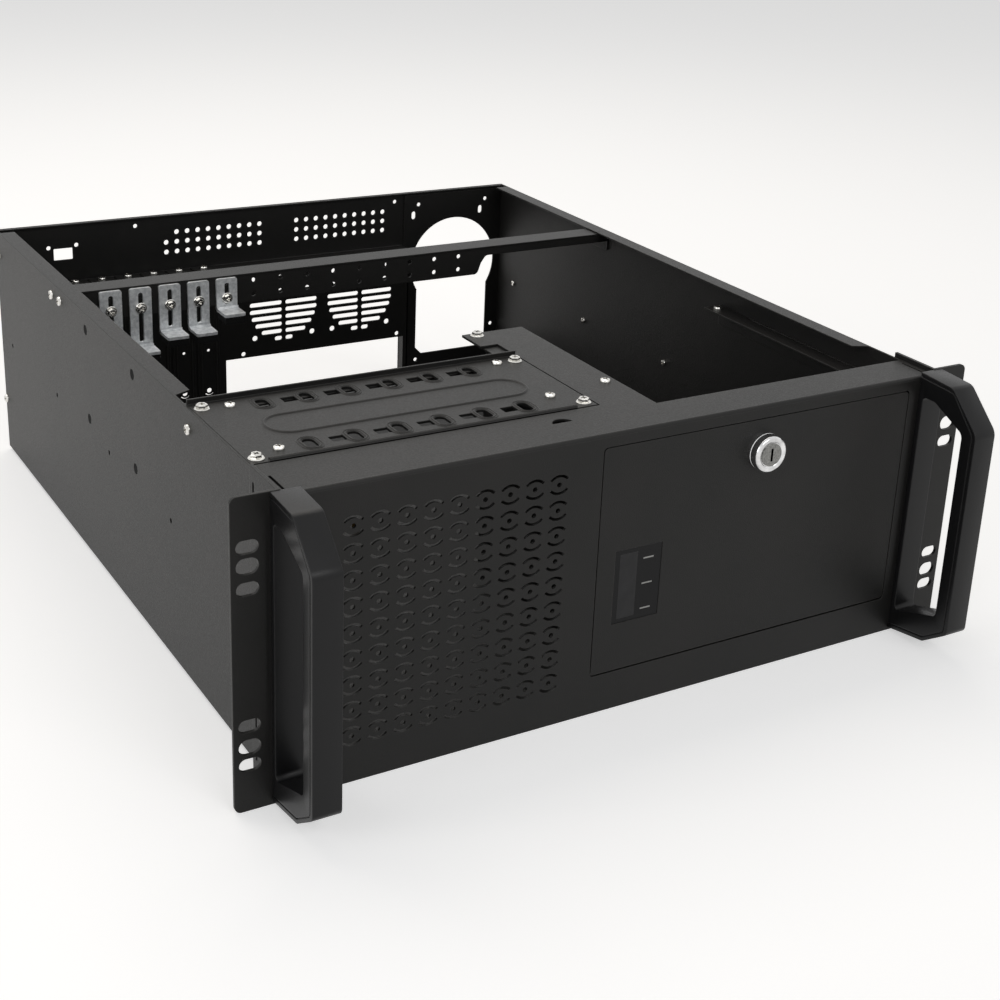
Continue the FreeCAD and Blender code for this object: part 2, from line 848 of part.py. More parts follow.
def card_bar():
    """The cross bar: a top flange, a stepped front flange with two rows of holes, and end tabs."""
    body = new_body("bar")
    front = [
        (f"-{INNER}", "bar_low"), ("bar_step", "bar_low"),
        ("bar_step + bar_step_corner", "bar_low_right"), (INNER, "bar_low_right"),
        (INNER, FLANGE_LOW), (f"-{INNER}", FLANGE_LOW),
    ]
    pad(body, "bar_front_flange", "y", ("bar_front", "bar_front + wall"), [("outline", front)])
    pad(
        body,
        "bar_top_flange",
        "z",
        (f"{FLANGE_LOW} - wall", FLANGE_LOW),
        [rectangle((f"-{INNER}", INNER), ("bar_front", "bar_front + bar_depth"))],
    )
    tab = rectangle(("bar_front", "bar_front + bar_tab"), (f"{FLANGE_LOW} - bar_tab_height", FLANGE_LOW))
    for side in ("left", "right"):
        pad(body, f"bar_{side}_tab", "x", side_span(side, f"{INNER} - wall", INNER), [tab])
    span = ("bar_front - 1", "bar_front + wall + 1")
    holes = pocket(
        body, "bar_holes", "y", span, [facets((clamp_place(0), "bar_hole_low"), "clamp_screw_radius")],
    )
    repeat(
        body,
        holes,
        [("H_Axis", "bar_hole_count", "slot_pitch"), ("V_Axis", 2, "bar_hole_high - bar_hole_low")],
    )
    sub_part(body, "card_bar")


def card_clamps():
    """Five slotted brackets that hold the cards down, each with a rubber pad under its foot."""
    back = "(bar_front - contact_gap)"
    plate = f"({back} - clamp_sheet)"
    slot_radius = "(clamp_screw_radius + contact_gap)"
    for number, length in enumerate(CLAMP_LENGTHS):
        centre = clamp_place(number)
        across = (f"{centre} - clamp_width / 2", f"{centre} + clamp_width / 2")
        foot = f"(clamp_top - {length})"
        front = f"({back} - clamp_foot)"
        side = [
            (front, foot), (back, foot), (back, "clamp_top"), (plate, "clamp_top"),
            (plate, f"{foot} + clamp_sheet"), (front, f"{foot} + clamp_sheet"),
        ]
        body = new_body(f"clamp_{number}")
        pad(body, f"clamp_{number}_bent", "x", across, [("outline", side)])
        low = f"{foot} + clamp_sheet + clamp_slot_above_foot + {slot_radius}"
        high = f"clamp_slot_top - {slot_radius}"
        window = upright_slot(centre, low, high, slot_radius)
        pocket(body, f"clamp_{number}_slot", "y", (f"{plate} - 1", f"{back} + 1"), [window])

        def top_corner(edge):
            return runs_along(edge, 1) and near(edge.CenterOfMass.z, "clamp_top")

        rounded(body, f"clamp_{number}_corners", "clamp_corner", top_corner)
        sub_part(body, f"card_clamp_{number + 1}")
        pad_across = (f"{across[0]} + pad_inset", f"{across[1]} - pad_inset")
        rubber = block(
            f"pad_{number}",
            pad_across,
            (f"{front} + pad_inset", f"{back} - pad_inset"),
            (f"{foot} - pad_thick", foot),
        )
        sub_part(gathered(f"clamp_{number}_rubber", [rubber]), f"clamp_pad_{number + 1}")


def clamp_screws():
    """A screw and washer in front of each clamp, with its shank in the bar."""
    screws = []
    washer_back = "(bar_front - contact_gap - clamp_sheet - contact_gap)"
    for number in range(len(CLAMP_LENGTHS)):
        centre = clamp_place(number)
        head_front = f"({washer_back} - clamp_washer_thick - clamp_head_height)"
        washer = (centre, f"{washer_back} - clamp_washer_thick", "bar_hole_low")
        pieces = [
            prism(
                f"clamp_head_{number}",
                "y",
                (centre, head_front, "bar_hole_low"),
                "clamp_head_radius",
                "clamp_head_height",
                12,
            ),
            prism(f"clamp_washer_{number}", "y", washer, "clamp_washer_radius", "clamp_washer_thick", 12),
            prism(
                f"clamp_shank_{number}",
                "y",
                washer,
                "clamp_screw_radius",
                f"bar_front + wall + 2 - ({washer[1]})",
            ),
        ]
        screws.append(joined(f"clamp_screw_{number}", pieces))
    sub_part(gathered("clamp_screw_set", screws), "clamp_screws")


# ---------------------------------------------------------------- front


def eye_points(up):
    """One curved brow of the grille's cell, above (1) or below (-1) its eye, as short chords."""
    points = []
    for ring, chords, order in (("brow_outer", 2, 1), ("brow_inner", 1, -1)):
        for step in range(chords + 1)[::order]:
            angle = f"(90 - brow_half_angle + 2 * brow_half_angle * {step} / {chords})"
            x = f"grille_first + {ring} * cos({angle} * 1deg)"
            z = f"grille_low + {up} * {ring} * sin({angle} * 1deg)"
            points.append((x, z))
    return points


def front_panel():
    """Face, top strip and the bridge behind it, one folded sheet, with the grille and the door's opening."""
    body = new_body("front")
    opening = rectangle(
        ("door_left - door_gap", "door_right + door_gap"),
        ("door_low - door_gap_below", "door_high + door_gap"),
    )
    face = rectangle((f"-{HALF}", HALF), ("0", "body_top"))
    pad(body, "face", "y", ("0", "front_wall"), [face, opening])
    cover = f"({INNER} - cover_gap)"
    strip = [
        (f"-{cover}", "0"), (cover, "0"), (cover, "strip_depth"), ("bridge_right", "strip_depth"),
        ("bridge_right", "bridge_end"), ("bridge_tab_left", "bridge_end"),
        ("bridge_tab_left", "bridge_tab_start"), ("bridge_left", "bridge_tab_start"),
        ("bridge_left", "strip_depth_left"), (f"-{cover}", "strip_depth_left"),
    ]
    pad(body, "strip", "z", (COVER_LOW, "body_top"), [("outline", strip)])
    keeper = rectangle(("door_left - door_gap", "door_right + door_gap"), ("front_wall / 2", "keeper_depth"))
    pad(body, "keeper", "z", ("door_high + door_gap", "door_high + door_gap + front_wall"), [keeper])
    for name, inner, outer in (
        ("left", "door_left - door_gap", "-"), ("right", "door_right + door_gap", "+"),
    ):
        far = f"{inner} {outer} hinge_lug"
        across = (far, inner) if name == "left" else (inner, far)
        lug = rectangle(
            ("front_wall / 2", "door_depth"),
            (f"{HINGE_HEIGHT} - hinge_lug_height / 2", f"{HINGE_HEIGHT} + hinge_lug_height / 2"),
        )
        pad(body, f"{name}_lug", "x", across, [lug])

    def front_bend(edge):
        top = near(edge.CenterOfMass.z, "body_top")
        return runs_along(edge, 0) and top and near(edge.CenterOfMass.y, "0")

    rounded(body, "front_bend", "bend_radius", front_bend)
    pins = circle(("hinge_back", HINGE_HEIGHT), "hinge_pin_radius")
    pocket(
        body,
        "pin_holes",
        "x",
        ("door_left - door_gap - hinge_lug - 1", "door_right + door_gap + hinge_lug + 1"),
        [pins],
    )
    slits = []
    for side in ("left", "right"):
        across = side_span(
            side, "strip_slit_place - strip_slit_width / 2", "strip_slit_place + strip_slit_width / 2",
        )
        slits.append(rectangle(across, ("strip_slit_start", "strip_slit_end")))
    pocket(body, "strip_slits", "z", (f"{COVER_LOW} - 1", "body_top + 1"), slits)
    screws = []
    for side in ("-", ""):
        for height in ("handle_screw_low", "handle_screw_high"):
            screws.append(facets((f"{side}handle_screw_place", height), "handle_screw_radius"))
    pocket(body, "handle_screw_holes", "y", ("-1", "front_wall + 1"), screws)
    cell = [("outline", eye_points(1)), ("outline", eye_points(-1)), ("outline", eye_pupil())]
    grille = pocket(body, "grille", "y", ("-1", "front_wall + 1"), cell)
    repeat(
        body,
        grille,
        [("H_Axis", "grille_count", "grille_pitch"), ("V_Axis", "grille_count", "grille_pitch")],
    )
    sub_part(body, "front_panel")


def eye_pupil():
    """The small hole in the middle of a cell."""
    x, z, r = "grille_first", "grille_low", "eye_radius"
    return [(f"{x} - {r}", z), (x, f"{z} - {r}"), (f"{x} + {r}", z), (x, f"{z} + {r}")]


def handle_middle():
    """The distance of a handle's middle from the case's middle."""
    return f"({HALF} + handle_outset - handle_width / 2)"


def handles():
    """A moulded grip at each end: closed loop, chamfered corners, a groove around each side face."""
    for side, sign in (("left", "-"), ("right", "")):
        body = new_body(f"{side}_grip")
        across = side_span(
            side, f"{handle_middle()} - handle_width / 2", f"{handle_middle()} + handle_width / 2",
        )
        pad(body, f"{side}_grip_block", "x", across, [("outline", handle_outline("0"))])
        opening = [
            ("-handle_back", "grip_low_back"), ("-handle_back", "grip_high_back"),
            ("-grip_shoulder", "grip_high_back"), ("handle_bar - handle_reach", "grip_high_front"),
            ("handle_bar - handle_reach", "grip_low_front"),
        ]
        pocket(
            body,
            f"{side}_grip_opening",
            "x",
            (f"{across[0]} - 1", f"{across[1]} + 1"),
            [("outline", opening)],
        )

        def opening_corner(edge):
            middle = edge.CenterOfMass
            deep = middle.y > -value_of("handle_reach - handle_bar") - 0.01
            high = value_of("grip_low_back") - 0.01 < middle.z < value_of("grip_high_back") + 0.01
            return runs_along(edge, 0) and middle.y < -value_of("handle_back") + 0.01 and deep and high

        rounded(body, f"{side}_grip_corners", "grip_corner", opening_corner)

        def outer_edge(edge):
            middle = edge.CenterOfMass
            front = near(middle.y, "-handle_reach")
            flat = near(middle.z, "handle_top - handle_fall / 2")
            high = middle.z > value_of("grip_high_front")
            slope = high and near(middle.y, "-(handle_reach + handle_flat) / 2")
            straight = isinstance(edge.Curve, Part.Line) and abs(edge.Curve.Direction.x) < 0.5
            return straight and (front or flat or slope)

        rounded(body, f"{side}_grip_edges", "handle_edge", outer_edge)
        ring = handle_outline("groove_inset") + handle_outline("groove_inset + groove_width")[::-1]
        pocket(
            body, f"{side}_groove_low", "x", (across[0], f"{across[0]} + groove_depth"), [("outline", ring)],
        )
        pocket(
            body, f"{side}_groove_high", "x", (f"{across[1]} - groove_depth", across[1]), [("outline", ring)],
        )
        screws = [
            facets((f"{sign}handle_screw_place", height), "handle_screw_radius")
            for height in ("handle_screw_low", "handle_screw_high")
        ]
        pocket(body, f"{side}_grip_screws", "y", ("front_wall - handle_screw_length", "1"), screws)
        sub_part(body, f"handle_{side}")


def handle_outline(inset):
    """A handle's side outline, drawn inside the true one by an inset; the mitres suit its slopes."""
    mitre = f"({inset}) * 0.43"
    return [
        ("0", f"handle_bottom + {inset}"),
        (f"{mitre} / 4 - handle_heel", f"handle_heel_height + {inset}"),
        (f"{inset} - handle_reach", f"handle_toe + {mitre}"),
        (f"{inset} - handle_reach", f"handle_shoulder - {mitre}"),
        (f"-handle_flat - {mitre}", f"handle_top - handle_fall - ({inset})"),
        ("0", f"handle_top - ({inset})"),
    ]


def handle_screws():
    """Four screws from behind the front panel into the handles."""
    screws = []
    for side in ("-", ""):
        for height in ("handle_screw_low", "handle_screw_high"):
            x = f"{side}handle_screw_place"
            shank = prism(
                "handle_shank",
                "y",
                (x, "front_wall - handle_screw_length", height),
                "handle_screw_radius",
                "handle_screw_length",
            )
            head = prism(
                "handle_head",
                "y",
                (x, "front_wall", height),
                "handle_screw_head",
                "handle_screw_head_height",
                8,
            )
            screws.append(joined("handle_screw", [shank, head]))
    sub_part(gathered("handle_screw_set", screws), "handle_screws")


def ear_brackets():
    """The rack ears: a slotted plate beside the front panel and a leg along the side wall."""
    for side in ("left", "right"):
        sign = "-" if side == "left" else ""
        body = new_body(f"{side}_ear")
        bent = [
            (f"{sign}{HALF}", "0"), (f"{sign}rack_width / 2", "0"), (f"{sign}rack_width / 2", "ear_sheet"),
            (f"{sign}({HALF} + ear_sheet)", "ear_sheet"), (f"{sign}({HALF} + ear_sheet)", "ear_leg"),
            (f"{sign}{HALF}", "ear_leg"),
        ]
        pad(body, f"{side}_ear_bent", "z", ("0", "ear_height"), [("outline", bent)])

        def outer_corner(edge):
            return runs_along(edge, 1) and near(abs(edge.CenterOfMass.x), "rack_width / 2")

        rounded(body, f"{side}_ear_corners", "ear_corner", outer_corner)
        middle = f"{sign}ear_hole_spacing / 2"
        slots = []
        for span, height in (
            ("ear_span_outer", "ear_slot_height"),
            ("ear_span_middle", "ear_slot_height_wide"),
            ("ear_span_inner", "ear_slot_height"),
        ):
            reach = f"(ear_slot_length - {height}) / 2"
            for up in ("-", "+"):
                z = f"ear_height / 2 {up} {span} / 2"
                slots.append(slot((f"{middle} - {reach}", z), (f"{middle} + {reach}", z), f"{height} / 2"))
        pocket(body, f"{side}_ear_slots", "y", ("-1", "ear_sheet + 1"), slots)
        slits = []
        along = ("leg_slit_place", "leg_slit_place + leg_slit_width")
        for start, length in (("leg_slit_edge", "leg_slit_short"), ("leg_slit_inset", "leg_slit_long")):
            slits.append(rectangle(along, (start, f"{start} + {length}")))
            slits.append(rectangle(along, (f"ear_height - {start} - {length}", f"ear_height - {start}")))
        pocket(
            body, f"{side}_leg_slits", "x", side_span(side, f"{HALF} - 1", f"{HALF} + ear_sheet + 1"), slits,
        )
        sub_part(body, f"ear_bracket_{side}")


# ---------------------------------------------------------------- door and lock


def door():
    """The door pan, with holes for its hinge pins, its lock and the status window."""
    body = new_body("door_pan")
    across = ("door_left", "door_right")
    up = ("door_low", "door_high")
    pad(body, "door_block", "y", ("0", "door_depth"), [rectangle(across, up)])

    def corner(edge):
        return runs_along(edge, 1)

    rounded(body, "door_corners", "door_corner", corner)
    inside = rectangle(("door_left + wall", "door_right - wall"), ("door_low + wall", "door_high - wall"))
    pocket(body, "door_hollow", "y", ("front_wall", "door_depth + 1"), [inside])
    hinge = circle(("hinge_back", HINGE_HEIGHT), "hinge_pin_radius + hinge_play")
    pocket(body, "door_pin_holes", "x", ("door_left - 1", "door_right + 1"), [hinge])
    window = rectangle(("window_left", "window_right"), ("window_low", "window_high"))
    pocket(
        body,
        "door_holes",
        "y",
        ("-1", "front_wall + 1"),
        [window, circle(("lock_place", "lock_height"), "lock_barrel_radius")],
    )
    sub_part(body, "door")


def door_pins():
    """Two pins, fixed in the panel's lugs, on which the door turns."""
    inward = "(door_gap + wall + contact_gap)"
    length = f"hinge_lug + {inward}"
    left = rod(
        "left_pin",
        "x",
        ("door_left - door_gap - hinge_lug", "hinge_back", HINGE_HEIGHT),
        "hinge_pin_radius",
        length,
    )
    right = rod(
        "right_pin",
        "x",
        (f"door_right + door_gap - {inward}", "hinge_back", HINGE_HEIGHT),
        "hinge_pin_radius",
        length,
    )
    sub_part(gathered("pins", [left, right]), "door_pins")


def turned(name, x, z, profile):
    """A solid turned about a line along Y through (x, z), from (y, radius) points."""
    body = new_body(name)
    sketch = new_sketch(body, name + "_profile", "x", x)
    draw_outline(sketch, [(y, f"{z} + {radius}") for y, radius in profile])
    low = spot((profile[0][0], z))
    axis = sketch.addGeometry(Part.LineSegment(low, low + Vector(1, 0, 0)), True)
    pin_point(sketch, axis, 1, (profile[0][0], z))
    pin_point(sketch, axis, 2, (f"{profile[0][0]} + 1", z))
    feature = body.newObject("PartDesign::Revolution", name + "_turned")
    feature.Profile = sketch
    feature.ReferenceAxis = (sketch, ["Axis0"])
    feature.Angle = 360
    doc.recompute()
    return body


def lock():
    """A cam lock: barrel and nut on the door, and a turning plug that carries the cam."""
    x, z = "lock_place", "lock_height"
    bore = "(lock_plug_radius + lock_play)"
    barrel = [
        ("-lock_head_length", bore), ("-lock_head_length", "lock_head_radius - lock_head_edge"),
        ("lock_head_edge - lock_head_length", "lock_head_radius"), ("0", "lock_head_radius"),
        ("0", "lock_barrel_radius"), ("lock_barrel_end", "lock_barrel_radius"), ("lock_barrel_end", bore),
    ]
    sub_part(turned("barrel", x, z, barrel), "lock_barrel")
    nut_blank = prism("nut_blank", "y", (x, "front_wall", z), "lock_nut_radius", "lock_nut_thick")
    nut_bore = rod("nut_bore", "y", (x, "front_wall - 1", z), "lock_barrel_radius", "lock_nut_thick + 2")
    sub_part(cut("nut", nut_blank, [nut_bore]), "lock_nut")

    cam_front = "(lock_barrel_end + contact_gap)"
    cam_back = f"({cam_front} + cam_thick)"
    body = new_body("plug")
    pad(body, "plug_core", "y", ("-lock_head_length", cam_front), [circle((x, z), "lock_plug_radius")])
    pad(body, "cam_post", "y", (f"{cam_front} - 1", cam_back), [facets((x, z), "cam_post_radius")])
    pad(body, "cam_cap", "y", (cam_back, f"{cam_back} + cam_cap_thick"), [facets((x, z), "cam_cap_radius")])
    key = rectangle(
        ("lock_place - key_slot_width / 2", "lock_place + key_slot_width / 2"),
        ("lock_height - key_slot_height / 2", "lock_height + key_slot_height / 2"),
    )
    pocket(body, "key_slot", "y", ("-lock_head_length - 1", "key_slot_depth - lock_head_length"), [key])
    sub_part(body, "lock_plug")

    cam = new_body("cam")
    reach = slot((x, z), ("lock_place + cam_reach - cam_width / 2", z), "cam_width / 2")
    pad(cam, "cam_bar", "y", (cam_front, cam_back), [reach])
    pocket(cam, "cam_hole", "y", (f"{cam_front} - 1", f"{cam_back} + 1"), [facets((x, z), "cam_post_radius")])
    sub_part(cam, "lock_cam")


def status_window():
    """The dark window in the door and the light guide set in it."""
    inset = "contact_gap"
    body = new_body("window")
    play = "window_play"
    front = rectangle(
        (f"window_left + {play}", f"window_right - {play}"),
        (f"window_low + {play}", f"window_high - {play}"),
    )
    pad(body, "window_front", "y", (inset, "window_thick"), [front])
    margin = "window_margin"
    back = rectangle(
        (f"window_left - {margin}", f"window_right + {margin}"),
        (f"window_low - {margin}", f"window_high + {margin}"),
    )
    pad(body, "window_flange", "y", ("front_wall", "window_thick"), [back])
    guide = rectangle(("guide_left", "guide_right"), ("guide_low", "guide_high"))
    pocket(body, "guide_seat", "y", ("-1", "window_thick + 1"), [guide])
    sub_part(body, "status_window")
    strip = block(
        "guide", ("guide_left", "guide_right"), (inset, "window_thick"), ("guide_low", "guide_high"),
    )
    sub_part(gathered("guide_strip", [strip]), "light_guide")


# ---------------------------------------------------------------- behind the door


def bay_frame():
    """The sheet behind the door: drive bay opening, buttons and status lights."""
    body = new_body("bay")
    left = "(door_left - door_gap - hinge_lug - frame_side)"
    right = "(door_right + door_gap + hinge_lug + frame_side)"
    depth = ("frame_place", "frame_place + wall")
    loops = [
        rectangle((left, right), ("frame_low", "frame_high")),
        rectangle(("bay_left", "bay_right"), ("bay_low", "bay_high")),
        circle(("button_place", "power_height"), "power_radius + button_play"),
        circle(("button_place", "reset_height"), "reset_radius + button_play"),
    ]
    for number in range(DIMENSIONS["led_count"]):
        loops.append(facets(("led_place", f"led_low + led_pitch * {number}"), "led_radius"))
    pad(body, "bay_sheet", "y", depth, loops)
    flange = rectangle(("front_wall", "frame_place + wall"), ("frame_low", "frame_high"))
    pad(body, "bay_left_flange", "x", (left, f"{left} + wall"), [flange])
    pad(body, "bay_right_flange", "x", (f"{right} - wall", right), [flange])
    sub_part(body, "bay_frame")


def buttons():
    """Two push buttons with collars behind the sheet, in their switch housings."""
    housings = []
    back = "(frame_place + wall)"
    for name, height, radius in (
        ("power", "power_height", "power_radius"), ("reset", "reset_height", "reset_radius"),
    ):
        collar = f"{radius} + button_collar"
        start = f"{back} + button_play"
        centre = ("button_place", height)
        button = new_body(name)
        pad(button, f"{name}_cap", "y", ("frame_place - button_stand", start), [circle(centre, radius)])
        pad(
            button,
            f"{name}_collar",
            "y",
            (start, f"{start} + button_collar_thick"),
            [facets(centre, collar, 8)],
        )
        sub_part(button, f"{name}_button")
        bore = f"({collar} + button_play)"
        half = f"({bore} + switch_wall)"
        case = block(
            f"{name}_switch",
            (f"button_place - {half}", f"button_place + {half}"),
            (back, f"{back} + switch_depth"),
            (f"{height} - {half}", f"{height} + {half}"),
        )
        depth = "button_play + button_collar_thick + button_travel + button_play"
        well = block(
            f"{name}_well",
            (f"button_place - {bore}", f"button_place + {bore}"),
            (f"{back} - 1", f"{back} + {depth}"),
            (f"{height} - {bore}", f"{height} + {bore}"),
        )
        housings.append(cut(f"{name}_housing", case, [well]))
    sub_part(gathered("housings", housings), "switch_housings")


def status_leds():
    """Three lights in line with the door's light guide."""
    lights = []
    for number in range(DIMENSIONS["led_count"]):
        start = ("led_place", "frame_place + wall - led_length", f"led_low + led_pitch * {number}")
        lights.append(prism(f"led_{number}", "y", start, "led_radius", "led_length"))
    sub_part(gathered("lights", lights), "status_leds")


# ---------------------------------------------------------------- drive cage


def drive_cage_plate():
    """The fixed top plate over the drives, with stamped vents, a bead, a front hem and a rear lip."""
    body = new_body("plate")
    top = "body_top"
    across = (f"cover_gap - {INNER}", "plate_right")
    sheet_loop = rectangle(across, ("plate_front", "plate_back"))
    pad(body, "plate_sheet", "z", (COVER_LOW, top), [sheet_loop])
    lip = rectangle(across, ("plate_back - wall", "plate_back"))
    pad(body, "plate_rear_lip", "z", (COVER_LOW, f"{top} + plate_lip"), [lip])
    hem = rectangle(
        (f"flange_width + 1 - {HALF}", "bay_wall_place - bay_wall_flange - 1"),
        ("plate_front", "plate_front + wall"),
    )
    pad(body, "plate_front_hem", "z", (f"{top} - plate_hem", top), [hem])
    bead = slot(
        ("bead_left + bead_radius", "bead_place"), ("bead_right - bead_radius", "bead_place"), "bead_radius",
    )
    pad(body, "plate_bead", "z", (COVER_LOW, f"{top} + bead_height"), [bead])
    for line in ("front", "back"):
        middle = f"opening_{line}"
        square = rectangle(
            ("opening_first - opening_width", "opening_first"),
            (f"{middle} - opening_length / 2", f"{middle} + opening_length / 2"),
        )
        vent = pocket(body, f"vent_{line}", "z", (f"{COVER_LOW} - 1", f"{top} + 1"), [square])
        repeat(body, vent, [("H_Axis", "opening_count", "opening_pitch")])
    holes = [facets(place, "plate_screw_radius") for place in PLATE_SCREWS]
    pocket(body, "plate_screw_seats", "z", (f"{COVER_LOW} - 1", f"{top} + 1"), holes)
    sub_part(body, "drive_cage_plate")


def drive_cage():
    """Two hanging side walls joined by strips under the plate, one folded sheet."""
    body = new_body("cage")
    along = ("cage_front", "cage_back")
    top = COVER_LOW
    frame = [
        rectangle(("cage_left", "cage_right"), along),
        rectangle(
            ("cage_left + cage_flange", "cage_right - cage_flange"),
            ("cage_front + cage_cross", "cage_back - cage_cross"),
        ),
    ]
    pad(body, "cage_top", "z", (LEDGE_LOW, top), frame)
    wall = rectangle(along, ("cage_low", top))
    pad(body, "cage_left_wall", "x", ("cage_left", "cage_left + wall"), [wall])
    pad(body, "cage_right_wall", "x", ("cage_right - wall", "cage_right"), [wall])
    sub_part(body, "drive_cage")


def bay_wall():
    """The folded wall between the drive cage and the bay, under the bridge."""
    body = new_body("divider")
    x = "bay_wall_place"
    fold = [
        (x, FLOOR), (f"{x} + bay_wall_flange", FLOOR), (f"{x} + bay_wall_flange", f"{FLOOR} + wall"),
        (f"{x} + wall", f"{FLOOR} + wall"), (f"{x} + wall", COVER_LOW), (f"{x} - bay_wall_flange", COVER_LOW),
        (f"{x} - bay_wall_flange", LEDGE_LOW), (x, LEDGE_LOW),
    ]
    pad(body, "divider_fold", "y", ("bay_wall_front", "bay_wall_back"), [("outline", fold)])
    holes = [
        facets((PLATE_SCREW_RIGHT, y), "plate_screw_radius")
        for y in ("plate_screw_front", "plate_screw_back")
    ]
    pocket(body, "divider_holes", "z", (f"{LEDGE_LOW} - 1", "body_top + 1"), holes)
    sub_part(body, "bay_wall")


def cage_screws():
    """Four washer-head screws that fix the plate."""
    screws = []
    top = "body_top"
    for x, y in PLATE_SCREWS:
        washer = prism("plate_washer", "z", (x, y, top), "washer_radius", "washer_thick", 12)
        head = prism("plate_head", "z", (x, y, f"{top} + washer_thick"), "hex_radius", "hex_height")
        shank = prism(
            "plate_shank",
            "z",
            (x, y, f"{top} - plate_screw_length"),
            "plate_screw_radius",
            "plate_screw_length",
        )
        screws.append(joined("plate_screw", [washer, head, shank]))
    sub_part(gathered("plate_screw_set", screws), "cage_screws")


def bay_ledge():
    """The angle on the right wall that carries the bay's outer side."""
    body = new_body("ledge")
    fold = [
        ("ledge_inner", "ledge_height - wall"), (f"{INNER} - wall", "ledge_height - wall"),
        (f"{INNER} - wall", "ledge_height - ledge_leg"), (INNER, "ledge_height - ledge_leg"),
        (INNER, "ledge_height"), ("ledge_inner", "ledge_height"),
    ]
    pad(body, "ledge_fold", "y", ("frame_place + wall", "ledge_back"), [("outline", fold)])
    slit = rectangle(
        (f"{INNER} - wall - ledge_slit", f"{INNER} - wall"),
        ("frame_place + wall + ledge_tab / 2", "ledge_back - ledge_tab"),
    )
    pocket(body, "ledge_slot", "z", ("ledge_height - wall - 1", "ledge_height + 1"), [slit])
    sub_part(body, "bay_ledge")


def board_standoffs():
    """Nine brass standoffs in the pattern of a full-size board."""
    posts = []
    for x in (
        "standoff_right", "standoff_right - standoff_middle_step", "standoff_right - standoff_far_step",
    ):
        for y in ("standoff_back", "standoff_back - standoff_near_row", "standoff_back - standoff_far_row"):
            posts.append(prism("standoff", "z", (x, y, FLOOR), "standoff_radius", "standoff_height"))
    sub_part(gathered("standoffs", posts), "board_standoffs")


# ---------------------------------------------------------------- build, check and write

chassis_shell()
rear_panel()
psu_plate()
slot_covers()
card_bar()
card_clamps()
clamp_screws()
front_panel()
ear_brackets()
handles()
handle_screws()
door()
door_pins()
lock()
status_window()
bay_frame()
buttons()
status_leds()
drive_cage_plate()
drive_cage()
bay_wall()
cage_screws()
bay_ledge()
board_standoffs()
doc.recompute()

for item in doc.Objects:
    if "Invalid" in item.State or "Error" in item.State:
        raise RuntimeError(f"{item.Label} did not build: {item.State}")
for item in SUB_PARTS:
    if item.Shape.isNull() or not item.Shape.isValid() or not item.Shape.Solids:
        raise RuntimeError(f"{item.Label} has no sound solid")

os.makedirs("parts", exist_ok=True)
for item in SUB_PARTS:
    item.Shape.exportStep(f"parts/{item.Label}.step")
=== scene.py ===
import json
import math

import bmesh
import bpy
from mathutils import Matrix, Vector


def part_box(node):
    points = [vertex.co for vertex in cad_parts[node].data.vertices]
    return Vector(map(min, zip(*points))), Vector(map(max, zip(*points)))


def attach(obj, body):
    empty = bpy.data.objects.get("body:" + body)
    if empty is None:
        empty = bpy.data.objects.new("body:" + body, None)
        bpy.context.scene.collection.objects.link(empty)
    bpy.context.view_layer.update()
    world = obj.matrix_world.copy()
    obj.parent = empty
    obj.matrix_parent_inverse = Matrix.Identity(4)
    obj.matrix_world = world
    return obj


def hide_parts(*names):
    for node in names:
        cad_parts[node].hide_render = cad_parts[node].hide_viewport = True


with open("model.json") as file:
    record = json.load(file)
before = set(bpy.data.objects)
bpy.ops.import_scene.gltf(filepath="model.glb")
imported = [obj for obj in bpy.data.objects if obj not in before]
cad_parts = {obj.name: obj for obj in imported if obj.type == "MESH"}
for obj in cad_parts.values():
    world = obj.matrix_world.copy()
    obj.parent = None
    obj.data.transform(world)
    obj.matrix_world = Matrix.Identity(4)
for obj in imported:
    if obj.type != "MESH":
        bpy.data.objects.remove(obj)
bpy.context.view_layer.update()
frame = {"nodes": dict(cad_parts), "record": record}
scene = bpy.context.scene

MM = 0.001
NODES = frame["nodes"]
FACE_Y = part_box("front_panel")[0].y
SLOT_OF = {item["node"]: item["material_slot"] for item in frame["record"]["subparts"]}


def at(x, y, z):
    """A place in millimetres, with y measured back from the front panel's face."""
    return Vector((x * MM, FACE_Y + y * MM, z * MM))


def low(node):
    """A node's lowest corner in the same millimetres."""
    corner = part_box(node)[0]
    return Vector((corner.x / MM, (corner.y - FACE_Y) / MM, corner.z / MM))


def high(node):
    """A node's highest corner in the same millimetres."""
    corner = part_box(node)[1]
    return Vector((corner.x / MM, (corner.y - FACE_Y) / MM, corner.z / MM))


# ---------------------------------------------------------------- sizes in millimetres

# Sheet of the front panel and the drive cage's plate, and of the walls and the rear panel.
SHEET = 1.5
WALL = 1.2
# Half the case's width, outside and inside.
SIDE = 215
INNER = 213.8
# The level that a top cover would rest on.
COVER = high("drive_cage_plate").z - 3
# Between card slots, and the slot nearest the middle.
CARD_PITCH = 20.32
INNER_CARD = -59
CARDS = 7
# The clamps' holes in the cross bar: the first one's place across, and the lower row's height.
FIRST_CLAMP = -184.42
CLAMP_HOLES = 158
CLAMPS = 5


# ---------------------------------------------------------------- materials


def linear(code):
    """An sRGB hex colour as linear RGBA."""
    channels = [int(code[i:i + 2], 16) / 255 for i in (0, 2, 4)]
    return (*[c / 12.92 if c <= 0.04045 else ((c + 0.055) / 1.055) ** 2.4 for c in channels], 1)


def add(tree, kind, inputs=None, **settings):
    """Add a node, set its own settings, then feed its inputs with values or other nodes' sockets."""
    node = tree.nodes.new(kind)
    for name, value in settings.items():
        setattr(node, name, value)
    for name, value in (inputs or {}).items():
        if isinstance(value, bpy.types.NodeSocket):
            tree.links.new(value, node.inputs[name])
        else:
            node.inputs[name].default_value = value
    return node


